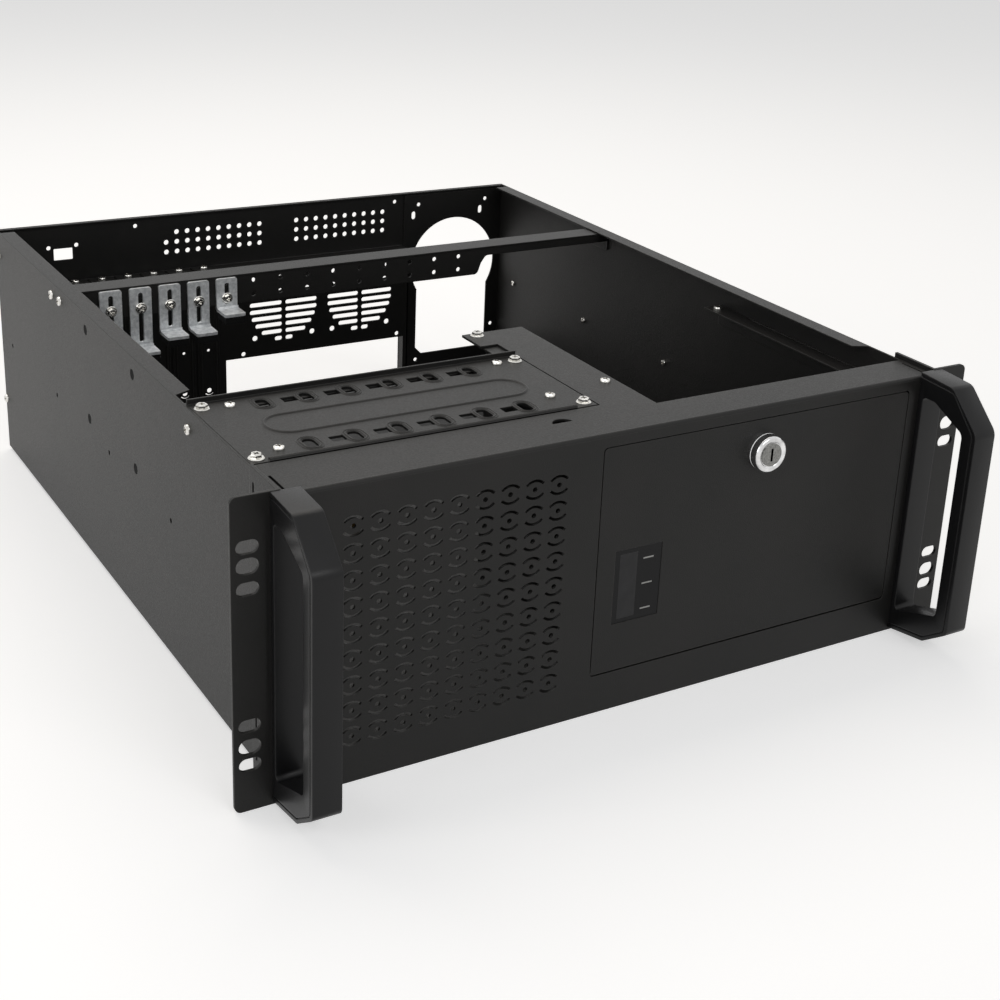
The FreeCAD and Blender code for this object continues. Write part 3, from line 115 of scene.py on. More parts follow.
def surface(name, **sockets):
    """A new material with its shader's constant sockets set."""
    material = bpy.data.materials.new(name)
    material.use_nodes = True
    shader = material.node_tree.nodes["Principled BSDF"]
    for socket, value in sockets.items():
        shader.inputs[socket.replace("_", " ")].default_value = value
    return material, material.node_tree, shader


def grain(tree, size_mm, detail=2.0, roughness=0.5):
    """Noise whose features are about this size on the object."""
    place = add(tree, "ShaderNodeTexCoord").outputs["Object"]
    inputs = {"Vector": place, "Scale": 1 / (size_mm * MM), "Detail": detail, "Roughness": roughness}
    return add(tree, "ShaderNodeTexNoise", inputs).outputs["Fac"]


def ramp(tree, factor, stops):
    """A colour ramp from (position, hex) stops."""
    node = add(tree, "ShaderNodeValToRGB", {"Fac": factor})
    for element, (position, code) in zip(node.color_ramp.elements, stops):
        element.position = position
        element.color = linear(code)
    return node.outputs["Color"]


def spread(tree, value, low_in, high_in, low_out, high_out):
    """A value mapped from one range to another."""
    inputs = {"Value": value, "From Min": low_in, "From Max": high_in, "To Min": low_out, "To Max": high_out}
    return add(tree, "ShaderNodeMapRange", inputs).outputs["Result"]


def coated(name, dark, light, edge, grit_mm, depth_mm, rough, edge_mm):
    """Baked powder coat on steel: a fine even grit and softly rounded edges. The edges' colour is painted
    lighter, partly as wear where the coat thins and partly as a painted highlight.
    """
    material, tree, shader = surface(name, IOR=1.5, Specular_IOR_Level=0.24)
    clouds = ramp(tree, grain(tree, 60, 3), [(0.35, dark), (0.65, light)])
    grit = grain(tree, grit_mm, 2, 0.6)
    rounded = add(tree, "ShaderNodeBevel", {"Radius": edge_mm * MM}, samples=4).outputs["Normal"]
    flat = add(tree, "ShaderNodeNewGeometry").outputs["Normal"]
    bend = add(tree, "ShaderNodeVectorMath", {0: rounded, 1: flat}, operation="DOT_PRODUCT")
    # Edge mask, where the bevelled normal turns from the flat one: the edges are painted lighter, partly as
    # worn coat and partly as a painted highlight.
    wear_and_highlight_mask = spread(tree, bend.outputs["Value"], 0.985, 0.9, 0.0, 0.7)
    colour = add(tree, "ShaderNodeMix", {0: wear_and_highlight_mask, 6: clouds, 7: linear(edge)}, data_type="RGBA")
    tree.links.new(colour.outputs[2], shader.inputs["Base Color"])
    tree.links.new(spread(tree, grit, 0.3, 0.7, rough - 0.06, rough + 0.08), shader.inputs["Roughness"])
    inputs = {"Height": grit, "Distance": depth_mm * MM, "Strength": 0.5, "Normal": rounded}
    bump = add(tree, "ShaderNodeBump", inputs)
    tree.links.new(bump.outputs["Normal"], shader.inputs["Normal"])
    return material


def plated(name, dark, light, rough, cell_mm, scratch_mm, metallic=1.0):
    """Bright plating on steel, with soft patches of tone and fine scratches."""
    material, tree, shader = surface(name, Metallic=metallic)
    patches = grain(tree, cell_mm, 2, 0.6)
    tree.links.new(ramp(tree, patches, [(0.35, dark), (0.65, light)]), shader.inputs["Base Color"])
    fine = grain(tree, 0.5, 3, 0.7)
    tree.links.new(spread(tree, fine, 0.3, 0.7, rough * 0.75, rough * 1.25), shader.inputs["Roughness"])
    bump = add(tree, "ShaderNodeBump", {"Height": fine, "Distance": scratch_mm * MM, "Strength": 0.4})
    tree.links.new(bump.outputs["Normal"], shader.inputs["Normal"])
    return material


def moulded(name, dark, light, rough, grain_mm, depth_mm, shine=0.5):
    """Moulded plastic or rubber: one colour, a slight mottle and a fine spark-eroded grain."""
    material, tree, shader = surface(name, IOR=1.48, Specular_IOR_Level=shine)
    tree.links.new(ramp(tree, grain(tree, 8, 2), [(0.35, dark), (0.65, light)]), shader.inputs["Base Color"])
    skin = grain(tree, grain_mm, 2, 0.6)
    tree.links.new(spread(tree, skin, 0.3, 0.7, rough * 0.85, rough * 1.15), shader.inputs["Roughness"])
    bump = add(tree, "ShaderNodeBump", {"Height": skin, "Distance": depth_mm * MM, "Strength": 0.4})
    tree.links.new(bump.outputs["Normal"], shader.inputs["Normal"])
    return material


# Powder coat on steel: its grit is drawn at 0.8 mm where the real coat has about 0.3 mm, so that it shows.
# In both coats below, the third colour paints the edges lighter: partly worn coat, partly a painted
# highlight.
POWDER_COAT = coated("fine_black_powder_coat", "1a1a19", "201f1e", "3a3937", 0.8, 0.26, 0.44, 0.7)
# Smoother, slightly glossier coat on the moulded aluminium grips.
GRIP_COAT = coated("satin_black_grip_coat", "131314", "171718", "303031", 0.7, 0.04, 0.34, 0.9)
# Bright nickel: screws look white with dark recesses.
NICKEL = plated("bright_nickel_plating", "c4c2bd", "e6e4df", 0.2, 2.0, 0.004)
# Zinc plating goes milky, with a faint spangle a few millimetres across.
ZINC = plated("milky_zinc_plating", "c9ccce", "e9ebec", 0.45, 3.0, 0.01, 0.5)
# Polished chrome of the lock's face: near white, with sharp reflections.
CHROME = plated("polished_chrome_plating", "c9c9c9", "e6e6e6", 0.12, 6.0, 0.002)
# Satin nickel of the lock's plug, greyer than the chrome round it.
SATIN = plated("satin_nickel_plug", "6e6e6c", "8b8b88", 0.34, 1.2, 0.01)
# Turned brass of the threaded posts, yellow with a light tarnish.
BRASS = plated("turned_brass", "8c7140", "b8985a", 0.3, 1.5, 0.004)
# Smoked acrylic: near black with a smooth skin.
SMOKED = moulded("smoked_acrylic_window", "0b0b0d", "0e0e10", 0.22, 1.2, 0.001, 0.2)
# Grey translucent guide, duller than the window round it.
GUIDE = moulded("grey_light_guide", "2d2d2e", "333334", 0.4, 0.8, 0.004, 0.2)
# Milky resin of the small lights, pale when they are off.
LENS = moulded("milky_diode_lens", "c9c7bb", "d8d6ca", 0.3, 0.5, 0.002)
# Moulded ABS of the switches: black with a soft sheen.
ABS = moulded("black_moulded_abs", "1b1b1c", "202021", 0.42, 0.6, 0.01)
# Foam rubber: dull and darker than the coat.
FOAM = moulded("black_foam_rubber", "0e0e0e", "151515", 0.85, 0.7, 0.06, 0.15)
# Pale grey pad-printed ink for the small marks beside the lights.
INK = moulded("pale_printed_ink", "a9a9a6", "b4b4b1", 0.5, 0.4, 0.002)

FINISH = {
    "black_powder_coat": POWDER_COAT,
    "handle_black": GRIP_COAT,
    "nickel_plate": NICKEL,
    "zinc_plate": ZINC,
    "bright_chrome": CHROME,
    "dark_window": SMOKED,
    "light_guide": GUIDE,
    "clear_lens": LENS,
    "black_plastic": ABS,
    "black_rubber": FOAM,
    "brass": BRASS,
}
SLOT_FOR = {material.name: slot for slot, material in FINISH.items()}
SLOT_FOR[SATIN.name] = "bright_chrome"
SLOT_FOR[INK.name] = "light_guide"
for node, obj in NODES.items():
    obj.data.materials.clear()
    obj.data.materials.append(FINISH[SLOT_OF[node]])
NODES["lock_plug"].data.materials[0] = SATIN


# ---------------------------------------------------------------- objects


def link(name, data):
    """A new object in the scene, at the origin."""
    obj = bpy.data.objects.new(name, data)
    scene.collection.objects.link(obj)
    return obj


def made(name, form):
    """A mesh object from a finished bmesh."""
    mesh = bpy.data.meshes.new(name)
    form.to_mesh(mesh)
    form.free()
    return link(name, mesh)


def baked(obj, name):
    """A plain mesh object from an object's evaluated result; the source object is deleted."""
    bpy.context.view_layer.update()
    evaluated = obj.evaluated_get(bpy.context.evaluated_depsgraph_get())
    mesh = bpy.data.meshes.new_from_object(evaluated)
    mesh.transform(obj.matrix_world)
    bpy.data.objects.remove(obj, do_unlink=True)
    return link(name, mesh)


def joined(name, objects):
    """One mesh object from several at the origin."""
    form = bmesh.new()
    for obj in objects:
        form.from_mesh(obj.data)
        bpy.data.objects.remove(obj, do_unlink=True)
    return made(name, form)


def smooth(obj, angle=30):
    """Shade smooth, with edges sharper than the angle kept."""
    for polygon in obj.data.polygons:
        polygon.use_smooth = True
    obj.data.set_sharp_from_angle(angle=math.radians(angle))
    return obj


def finished(obj, material, body, replaced=()):
    """Give a piece its finish and its body, and hide the nodes it stands for."""
    obj.data.materials.clear()
    obj.data.materials.append(material)
    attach(obj, body)
    if replaced:
        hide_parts(*replaced)
    return obj


# ---------------------------------------------------------------- flat drawings


def ring(centre, radius, steps=24, start=0.0, turn=360.0):
    """Points round a circle or part of one, as flat (x, z) pairs in millimetres."""
    count = steps if turn == 360 else steps + 1
    angles = [math.radians(start + turn * i / steps) for i in range(count)]
    return [(centre[0] + radius * math.cos(a), centre[1] + radius * math.sin(a)) for a in angles]


def disc(x, z, radius, steps=20):
    """A round hole's outline."""
    return ring((x, z), radius, steps)


def bar_loop(across, up, corner=0.0, steps=5):
    """A rectangle with rounded corners."""
    x0, x1 = across
    z0, z1 = up
    if not corner:
        return [(x0, z0), (x1, z0), (x1, z1), (x0, z1)]
    right, left, top, bottom = x1 - corner, x0 + corner, z1 - corner, z0 + corner
    loop = []
    for x, z, start in ((right, bottom, -90), (right, top, 0), (left, top, 90), (left, bottom, 180)):
        loop += ring((x, z), corner, steps, start, 90)
    return loop


def eased(corners):
    """A closed outline from (x, z, radius) corners, each rounded by its radius."""
    loop = []
    for k, (x, z, radius) in enumerate(corners):
        here = Vector((x, z))
        before = Vector(corners[k - 1][:2])
        after = Vector(corners[(k + 1) % len(corners)][:2])
        first = (before - here).normalized()
        second = (after - here).normalized()
        half = first.angle(second) / 2
        if radius == 0 or half > 1.55:
            loop.append((x, z))
            continue
        reach = radius / math.tan(half)
        centre = here + (first + second).normalized() * radius / math.sin(half)
        start = here + first * reach - centre
        end = here + second * reach - centre
        for step in range(7):
            spoke = (start * (1 - step / 6) + end * step / 6).normalized() * radius
            loop.append(tuple(centre + spoke))
    return loop


def outline_curve(name, loops):
    """A flat curve object with one closed spline for each loop, in metres."""
    curve = bpy.data.curves.new(name, "CURVE")
    curve.dimensions = "2D"
    curve.fill_mode = "NONE"
    for loop in loops:
        spline = curve.splines.new("POLY")
        spline.points.add(len(loop) - 1)
        for point, (x, z) in zip(spline.points, loop):
            point.co = (x * MM, z * MM, 0, 1)
        spline.use_cyclic_u = True
    return link(name, curve)


# ---------------------------------------------------------------- punched sheet


def tree_with(name, sockets):
    """A geometry tree with named inputs after the geometry."""
    tree = bpy.data.node_groups.new(name, "GeometryNodeTree")
    tree.interface.new_socket("Geometry", in_out="INPUT", socket_type="NodeSocketGeometry")
    tree.interface.new_socket("Geometry", in_out="OUTPUT", socket_type="NodeSocketGeometry")
    for label, kind in sockets:
        tree.interface.new_socket(label, in_out="INPUT", socket_type=kind)
    return tree, add(tree, "NodeGroupInput"), add(tree, "NodeGroupOutput")


def grown(obj, tree, values, name):
    """Run a tree on an object with its inputs set by identifier, and keep the plain result."""
    modifier = obj.modifiers.new(tree.name, "NODES")
    modifier.node_group = tree
    for item in tree.interface.items_tree:
        if item.in_out == "INPUT" and item.name in values:
            modifier[item.identifier] = values[item.name]
    return baked(obj, name)


def end_tree(tree, geometry, material, result):
    """Close a tree: its instances made real, then its material."""
    real = add(tree, "GeometryNodeRealizeInstances", {"Geometry": geometry})
    coat = add(tree, "GeometryNodeSetMaterial", {"Geometry": real.outputs[0], "Material": material})
    tree.links.new(coat.outputs[0], result.inputs[0])
    return tree


def sheet_tree():
    """Sheet metal cut from an outline, with one shape punched in a grid of rows and columns."""
    sockets = [
        ("Punch", "NodeSocketObject"), ("Columns", "NodeSocketInt"), ("Rows", "NodeSocketInt"),
        ("Pitch Across", "NodeSocketFloat"), ("Pitch Up", "NodeSocketFloat"),
        ("First Across", "NodeSocketFloat"), ("First Up", "NodeSocketFloat"),
        ("Thickness", "NodeSocketFloat"), ("Material", "NodeSocketMaterial"),
    ]
    tree, given, result = tree_with("punched_sheet", sockets)
    inputs = given.outputs

    def maths(operation, first, second):
        return add(tree, "ShaderNodeMath", {0: first, 1: second}, operation=operation).outputs[0]

    wide = maths("MULTIPLY", maths("SUBTRACT", inputs["Columns"], 1.0), inputs["Pitch Across"])
    tall = maths("MULTIPLY", maths("SUBTRACT", inputs["Rows"], 1.0), inputs["Pitch Up"])
    counts = {"Size X": wide, "Size Y": tall, "Vertices X": inputs["Columns"], "Vertices Y": inputs["Rows"]}
    grid = add(tree, "GeometryNodeMeshGrid", counts)
    across = maths("ADD", inputs["First Across"], maths("MULTIPLY", wide, 0.5))
    up = maths("ADD", inputs["First Up"], maths("MULTIPLY", tall, 0.5))
    shift = add(tree, "ShaderNodeCombineXYZ", {"X": across, "Y": up}).outputs[0]
    moved = add(tree, "GeometryNodeTransform", {"Geometry": grid.outputs["Mesh"], "Translation": shift})
    punch = add(tree, "GeometryNodeObjectInfo", {"Object": inputs["Punch"]}).outputs["Geometry"]
    copies = add(tree, "GeometryNodeInstanceOnPoints", {"Points": moved.outputs[0], "Instance": punch})
    loops = add(tree, "GeometryNodeRealizeInstances", {"Geometry": copies.outputs[0]})
    both = add(tree, "GeometryNodeJoinGeometry")
    tree.links.new(inputs["Geometry"], both.inputs[0])
    tree.links.new(loops.outputs[0], both.inputs[0])
    filled = add(tree, "GeometryNodeFillCurve", {"Curve": both.outputs[0]}).outputs[0]
    push = {"Mesh": filled, "Offset Scale": inputs["Thickness"], "Individual": False}
    raised = add(tree, "GeometryNodeExtrudeMesh", push)
    under = add(tree, "GeometryNodeFlipFaces", {"Mesh": filled})
    solid = add(tree, "GeometryNodeJoinGeometry")
    tree.links.new(raised.outputs[0], solid.inputs[0])
    tree.links.new(under.outputs[0], solid.inputs[0])
    closed = add(tree, "GeometryNodeMergeByDistance", {"Geometry": solid.outputs[0], "Distance": 1e-6})
    return end_tree(tree, closed.outputs[0], inputs["Material"], result)


SHEET_TREE = sheet_tree()
# Where a flat drawing goes: facing front (drawn in X and Z), lying flat (X and Y), or on a side (Y and Z).
UPRIGHT = Matrix(((1, 0, 0, 0), (0, 0, -1, 0), (0, 1, 0, 0), (0, 0, 0, 1)))
FLAT = Matrix.Identity(4)
SIDEWAYS = Matrix(((0, 0, 1, 0), (1, 0, 0, 0), (0, 1, 0, 0), (0, 0, 0, 1)))
# A grid is (columns, rows, pitch across, pitch up, first across, first up). This one punches nothing.
NO_GRID = (0, 0, 0, 0, 0, 0)
IDLE_PUNCH = [[(0, 0), (1, 0), (0, 1)]]


def punched(name, loops, thick, place, turn=UPRIGHT, punch=IDLE_PUNCH, grid=NO_GRID):
    """A sheet from an outline and its single holes, plus a grid of punched shapes."""
    base = outline_curve(name + "_outline", loops)
    tool = outline_curve(name + "_punch", punch)
    columns, rows, across, up, first_across, first_up = grid
    values = {
        "Punch": tool, "Columns": columns, "Rows": rows, "Pitch Across": across * MM, "Pitch Up": up * MM,
        "First Across": first_across * MM, "First Up": first_up * MM, "Thickness": thick * MM,
        "Material": POWDER_COAT,
    }
    sheet = grown(base, SHEET_TREE, values, name)
    bpy.data.objects.remove(tool, do_unlink=True)
    sheet.data.transform(Matrix.Translation(place) @ turn)
    return sheet


# ---------------------------------------------------------------- solids


def spun(name, profile, steps=32):
    """A closed solid turned about Z from (radius, height) points in millimetres, bottom to top."""
    form = bmesh.new()
    spokes = [2 * math.pi * i / steps for i in range(steps)]
    rings = []
    for radius, height in profile:
        if radius == 0:
            places = [(0, 0, height * MM)]
        else:
            places = [(radius * MM * math.cos(a), radius * MM * math.sin(a), height * MM) for a in spokes]
        rings.append([form.verts.new(place) for place in places])
    for a, b in zip(rings, rings[1:]):
        for i in range(steps):
            j = (i + 1) % steps
            corners = [a[i % len(a)], a[j % len(a)], b[j % len(b)], b[i % len(b)]]
            unique = list(dict.fromkeys(corners))
            if len(unique) > 2:
                form.faces.new(unique)
    for end in (rings[0], rings[-1]):
        if len(end) > 1:
            form.faces.new(end)
    bmesh.ops.recalc_face_normals(form, faces=form.faces)
    return made(name, form)


def carved(obj, tool, operation="DIFFERENCE"):
    """Cut one solid with another or weld them, and delete the tool."""
    cutter = obj.modifiers.new("carve", "BOOLEAN")
    cutter.object = tool
    cutter.operation = operation
    cutter.solver = "EXACT"
    result = baked(obj, obj.name)
    bpy.data.objects.remove(tool, do_unlink=True)
    return result


def box(name, x, y, z):
    """A plain block from (low, high) pairs in millimetres about the origin."""
    form = bmesh.new()
    bmesh.ops.create_cube(form, size=1)
    size = Vector((x[1] - x[0], y[1] - y[0], z[1] - z[0])) * MM
    middle = Vector((x[1] + x[0], y[1] + y[0], z[1] + z[0])) * MM / 2
    bmesh.ops.scale(form, vec=size, verts=form.verts)
    bmesh.ops.translate(form, vec=middle, verts=form.verts)
    return made(name, form)


def slab(name, x, y, z):
    """A block given in millimetres from the front panel's face."""
    block = box(name, x, y, z)
    block.data.transform(Matrix.Translation(at(0, 0, 0)))
    return block


def folded(name, profile, x):
    """A bent sheet's section, drawn in Y and Z, run along X."""
    form = bmesh.new()
    ends = [[form.verts.new(at(side, y, z)) for y, z in profile] for side in x]
    count = len(profile)
    for end in ends:
        form.faces.new(end)
    for i in range(count):
        j = (i + 1) % count
        form.faces.new((ends[0][i], ends[0][j], ends[1][j], ends[1][i]))
    bmesh.ops.recalc_face_normals(form, faces=form.faces)
    return made(name, form)


def tube(name, points, radius, closed=True):
    """A round ridge along points in metres, as a mesh."""
    curve = bpy.data.curves.new(name, "CURVE")
    curve.dimensions = "3D"
    curve.bevel_depth = radius * MM
    curve.bevel_resolution = 2
    curve.use_fill_caps = not closed
    spline = curve.splines.new("POLY")
    spline.points.add(len(points) - 1)
    for point, place in zip(spline.points, points):
        point.co = (*place, 1)
    spline.use_cyclic_u = closed
    return baked(link(name + "_path", curve), name)


# ---------------------------------------------------------------- screw heads

# How far a head reaches into its seat.
SUNK = 0.2


def cross_recess(size, depth, top):
    """The tool for a cross-head recess: two crossed blades."""
    long, thin, tall = (-size, size), (-size * 0.27, size * 0.27), (top - depth, top + 1)
    return carved(box("recess_a", long, thin, tall), box("recess_b", thin, long, tall), "UNION")


def pan_head(radius, height):
    """A pan-head screw's head with a cross recess, its seat at the origin, facing +Z."""
    dome = [(radius, height * 0.35), (radius * 0.86, height * 0.75), (radius * 0.5, height * 0.97)]
    head = spun("pan_head", [(0, -SUNK), (radius * 0.96, -SUNK), *dome, (0, height)])
    return smooth(carved(head, cross_recess(radius * 0.55, height * 0.65, height)), 40)


def washer_head(radius, height):
    """A hex head with a rolled flange and a cross recess."""
    rolled = [(radius, 0.5), (radius * 0.9, 0.95), (radius * 0.7, 1.0)]
    flange = spun("flange", [(0, -SUNK), (radius, -SUNK), *rolled, (0, 1.0)])
    sides = [(radius * 0.74, 0.3), (radius * 0.74, height - 0.5), (radius * 0.64, height)]
    head = carved(flange, spun("hex", [(0, 0.3), *sides, (0, height)], 6), "UNION")
    return smooth(carved(head, cross_recess(radius * 0.4, height * 0.55, height)), 25)


def screw_tree():
    """One screw head on each point of a mesh, turned to face a direction and spun at random about it."""
    sockets = [
        ("Screw", "NodeSocketObject"), ("Facing", "NodeSocketRotation"),
        ("Seed", "NodeSocketInt"), ("Material", "NodeSocketMaterial"),
    ]
    tree, given, result = tree_with("set_of_screws", sockets)
    inputs = given.outputs
    screw = add(tree, "GeometryNodeObjectInfo", {"Object": inputs["Screw"]}).outputs["Geometry"]
    points = add(tree, "GeometryNodeMeshToPoints", {"Mesh": inputs["Geometry"]}).outputs[0]
    stand = {"Points": points, "Instance": screw, "Rotation": inputs["Facing"]}
    copies = add(tree, "GeometryNodeInstanceOnPoints", stand).outputs[0]
    chance = add(tree, "FunctionNodeRandomValue", {"Seed": inputs["Seed"], 3: math.pi}, data_type="FLOAT")
    spin = add(tree, "ShaderNodeCombineXYZ", {"Z": chance.outputs[1]}).outputs[0]
    turn = {"Instances": copies, "Rotation": spin, "Local Space": True}
    turned = add(tree, "GeometryNodeRotateInstances", turn)
    return end_tree(tree, turned.outputs[0], inputs["Material"], result)


SCREW_TREE = screw_tree()
FACING = {"up": (0, 0, 0), "front": (math.pi / 2, 0, 0), "left": (0, -math.pi / 2, 0)}


def screws(name, screw, facing, places, seed=1):
    """A group of screw heads at places in metres."""
    mesh = bpy.data.meshes.new(name)
    mesh.from_pydata([tuple(p) for p in places], [], [])
    values = {"Screw": screw, "Facing": FACING[facing], "Seed": seed, "Material": NICKEL}
    return grown(link(name + "_points", mesh), SCREW_TREE, values, name)


# ---------------------------------------------------------------- front panel

# The grille's cells each way and between them, the gap round the door, and the bend at the top.
CELLS = 9
CELL_PITCH = 15.2
DOOR_GAP = 0.6
BEND = 2


def brow(up):
    """One thick curved brow of the grille's cell, above (1) or below (-1) its eye."""
    sweep = 94
    start = 90 - sweep / 2
    centre = (0, -2.1)
    loop = ring(centre, 8.0, 12, start, sweep) + ring(centre, 6.4, 10, start, sweep)[::-1]
    return [(x, up * z) for x, z in loop]


door = (low("door"), high("door"))
gap = (door[0].x - DOOR_GAP, door[1].x + DOOR_GAP)
door_hole = bar_loop(gap, (door[0].z - 2 * DOOR_GAP, door[1].z + DOOR_GAP), 2.5)
face_loops = [bar_loop((-SIDE, SIDE), (0, COVER - BEND)), door_hole]
face_loops += [disc(x, z, 2.1, 12) for x in (-209, 209) for z in (9, 167)]
cell = [brow(1), brow(-1), disc(0, 0, 1.5, 14)]
cells = (CELLS, CELLS, CELL_PITCH, CELL_PITCH, -176, 28)
face = punched("face", face_loops, SHEET, at(0, SHEET, 0), UPRIGHT, cell, cells)

turn_centre = (BEND, COVER - BEND)
curl = ring(turn_centre, BEND, 6, 180, -90) + ring(turn_centre, BEND - SHEET, 3, 90, 90)
bend = folded("bend", curl, (-SIDE + 0.3, SIDE - 0.3))
# The top strip, with the bridge that runs back beside the plate.
strip_outline = [
    (-213.5, 2), (213.5, 2), (213.5, 29), (27.5, 29), (27.5, 180),
    (-16, 180), (-16, 156), (-4, 156), (-4, 39.6), (-213.5, 39.6),
]
slits = [bar_loop((x - 0.8, x + 0.8), (4, 24), 0.7, 3) for x in (-211, 211)]
moon = ring((-38, 24), 6.5, 12, 10, 160)
strip = punched("strip", [strip_outline, *slits, moon], SHEET, at(0, 0, COVER - SHEET), FLAT)
keeper = slab("keeper", gap, (0.8, 12.5), (door[1].z + DOOR_GAP, door[1].z + DOOR_GAP + SHEET))
pin_z = low("door_pins").z + 1
beside = ((gap[0] - SHEET, gap[0]), (gap[1], gap[1] + SHEET))
lugs = [slab(f"lug_{n}", x, (0.8, 8), (pin_z - 5, pin_z + 5)) for n, x in enumerate(beside)]
front = joined("front_panel_sheet", [face, bend, strip, keeper, *lugs])
finished(smooth(front), POWDER_COAT, "case", ["front_panel"])


# ---------------------------------------------------------------- rear panel

BACK = high("chassis_shell").y
RECESS = BACK - 14
# The rear wall's lower edge, and the recess's outer faces.
SILL = 4.2
RECESS_LEFT, RECESS_RIGHT, RECESS_ROOF = -198, 119, 129
# Round vents: ten across in two groups.
VENTS = 10
VENT = 2.0
VENT_PITCH = 8.6
VENT_ROWS = 7.8
FIRST_VENT = (-85.8, 143.8)
NEXT_GROUP = 109.2
# Fans: their places across, their height, their openings' radius, and the slots that fill these.
FANS = (6, 74)
FAN_HEIGHT = 93.2
FAN = 29.5
FAN_SLOT_PITCH = 6.05
FAN_SLOT = 1.8

notch_left, notch_right, notch_roof = RECESS_LEFT + WALL, RECESS_RIGHT - WALL, RECESS_ROOF - WALL
notch = [(notch_left, SILL), (notch_left, notch_roof), (notch_right, notch_roof), (notch_right, SILL)]
skin = [(-INNER, SILL), *notch, (INNER, SILL), (INNER, COVER), (-INNER, COVER)]
skin_loops = [skin, bar_loop((125, 211), (16, 169)), bar_loop((-173.4, -159), (146, 155), 0.6)]
skin_loops += [disc(x, z, 1.7, 14) for x, z in ((-177, 156), (-156, 156.7), (-110, 167), (112, 167))]
# A third row above, in which the first group has one vent fewer.
for group in (0, 1):
    for k in range(VENTS):
        if group or k:
            x = FIRST_VENT[0] + NEXT_GROUP * group + VENT_PITCH * k
            skin_loops.append(disc(x, FIRST_VENT[1] + 2 * VENT_ROWS, VENT))
vents = [disc(0, 0, VENT), disc(NEXT_GROUP, 0, VENT)]
vent_grid = (VENTS, 2, VENT_PITCH, VENT_ROWS, *FIRST_VENT)
outer = punched("rear_skin", skin_loops, WALL, at(0, BACK, 0), UPRIGHT, vents, vent_grid)

rim_outline = [
    (RECESS_LEFT, SILL), *notch, (RECESS_RIGHT, SILL),
    (RECESS_RIGHT, RECESS_ROOF), (RECESS_LEFT, RECESS_ROOF),
]
rim = punched("recess_rim", [rim_outline], BACK - RECESS + WALL, at(0, BACK, 0))

recess_loops = [bar_loop((RECESS_LEFT, RECESS_RIGHT), (SILL, RECESS_ROOF))]
recess_loops += [bar_loop((-44, 114.75), (8.5, 52.95))]
recess_loops += [disc(x, z, 1.9, 14) for x, z in ((-29, 56.2), (109, 56.2))]
for middle in FANS:
    for row in range(-5, 5):
        rise = FAN_SLOT_PITCH * (row + 0.5)
        reach = math.sqrt(FAN ** 2 - (abs(rise) + 1.2) ** 2)
        up = (FAN_HEIGHT + rise - FAN_SLOT, FAN_HEIGHT + rise + FAN_SLOT)
        for side in (-1, 1):
            across = sorted((middle + side * 1.5, middle + side * reach))
            recess_loops.append(bar_loop(across, up, 1.75, 5))
    recess_loops += [disc(middle + x, FAN_HEIGHT + z, 2.3, 16) for x in (-25, 25) for z in (-25, 25)]
card_slot = [bar_loop((-6.5, 6.5), (-51, 51), 0.8, 3)]
slot_grid = (CARDS, 1, CARD_PITCH, 0, INNER_CARD - CARD_PITCH * (CARDS - 1), 65)
recess = punched("recess_back", recess_loops, WALL, at(0, RECESS, 0), UPRIGHT, card_slot, slot_grid)
lip = slab("rear_lip", (-INNER, INNER), (BACK - 4, BACK), (COVER - WALL, COVER))
rear = joined("rear_panel_sheet", [outer, rim, recess, lip])
finished(smooth(rear), POWDER_COAT, "case", ["rear_panel"])


# ---------------------------------------------------------------- drive cage plate

plate = (low("drive_cage_plate"), high("drive_cage_plate"))
LEFT = plate[0].x
# Oval holes and squares stand in rows with one pitch.
OVAL_PITCH = 26.1
FRONT_ROW, BACK_ROW = 55, 119


def oval(x, y, grow, steps):
    """An oval hole's outline about a place, or one that runs that far outside it."""
    wide, long = 3.3 + grow, 6.2 + grow
    return bar_loop((x - wide, x + wide), (y - long, y + long), 3.2 + grow, steps)


squares = [bar_loop((-8.6, 0), (row - 3.6, row + 3.6), 0.5, 2) for row in (0, BACK_ROW - FRONT_ROW)]
ovals = [(-175 + OVAL_PITCH * k, row) for k in range(6) for row in (FRONT_ROW, BACK_ROW)]
plate_loops = [bar_loop((LEFT, plate[1].x), (plate[0].y, plate[1].y))]
plate_loops += [oval(x, y, 0, 5) for x, y in ovals]
square_grid = (5, 1, OVAL_PITCH, 0, -181 + OVAL_PITCH, FRONT_ROW)
sheet = punched("plate_sheet", plate_loops, SHEET, at(0, 0, COVER - SHEET), FLAT, squares, square_grid)
rims = []
for x, y in ovals:
    for grow, radius in ((1.1, 0.55), (2.7, 0.4)):
        rims.append(tube("oval_rim", [at(px, py, COVER) for px, py in oval(x, y, grow, 6)], radius))
ridge_loop = [at(px, py, COVER - 0.4) for px, py in bar_loop((-187, -27), (86 - 13.5, 86 + 13.5), 13.4, 14)]
ridge = tube("bead_ridge", ridge_loop, 1.2)
rear_lip = slab("plate_lip", (LEFT, plate[1].x), (plate[1].y - WALL, plate[1].y), (COVER - SHEET, plate[1].z))
HEM = (-203, -18)
hem = slab("plate_hem", HEM, (plate[0].y, plate[0].y + WALL), (plate[0].z, COVER))
rib_path = [at(x, plate[0].y + 1.6, COVER) for x in HEM]
rib = tube("plate_rib", rib_path, 1.5, closed=False)
cage_top = joined("drive_cage_sheet", [sheet, *rims, ridge, rear_lip, hem, rib])
finished(smooth(cage_top), POWDER_COAT, "case", ["drive_cage_plate"])


# ---------------------------------------------------------------- card bar, slot covers and clamps

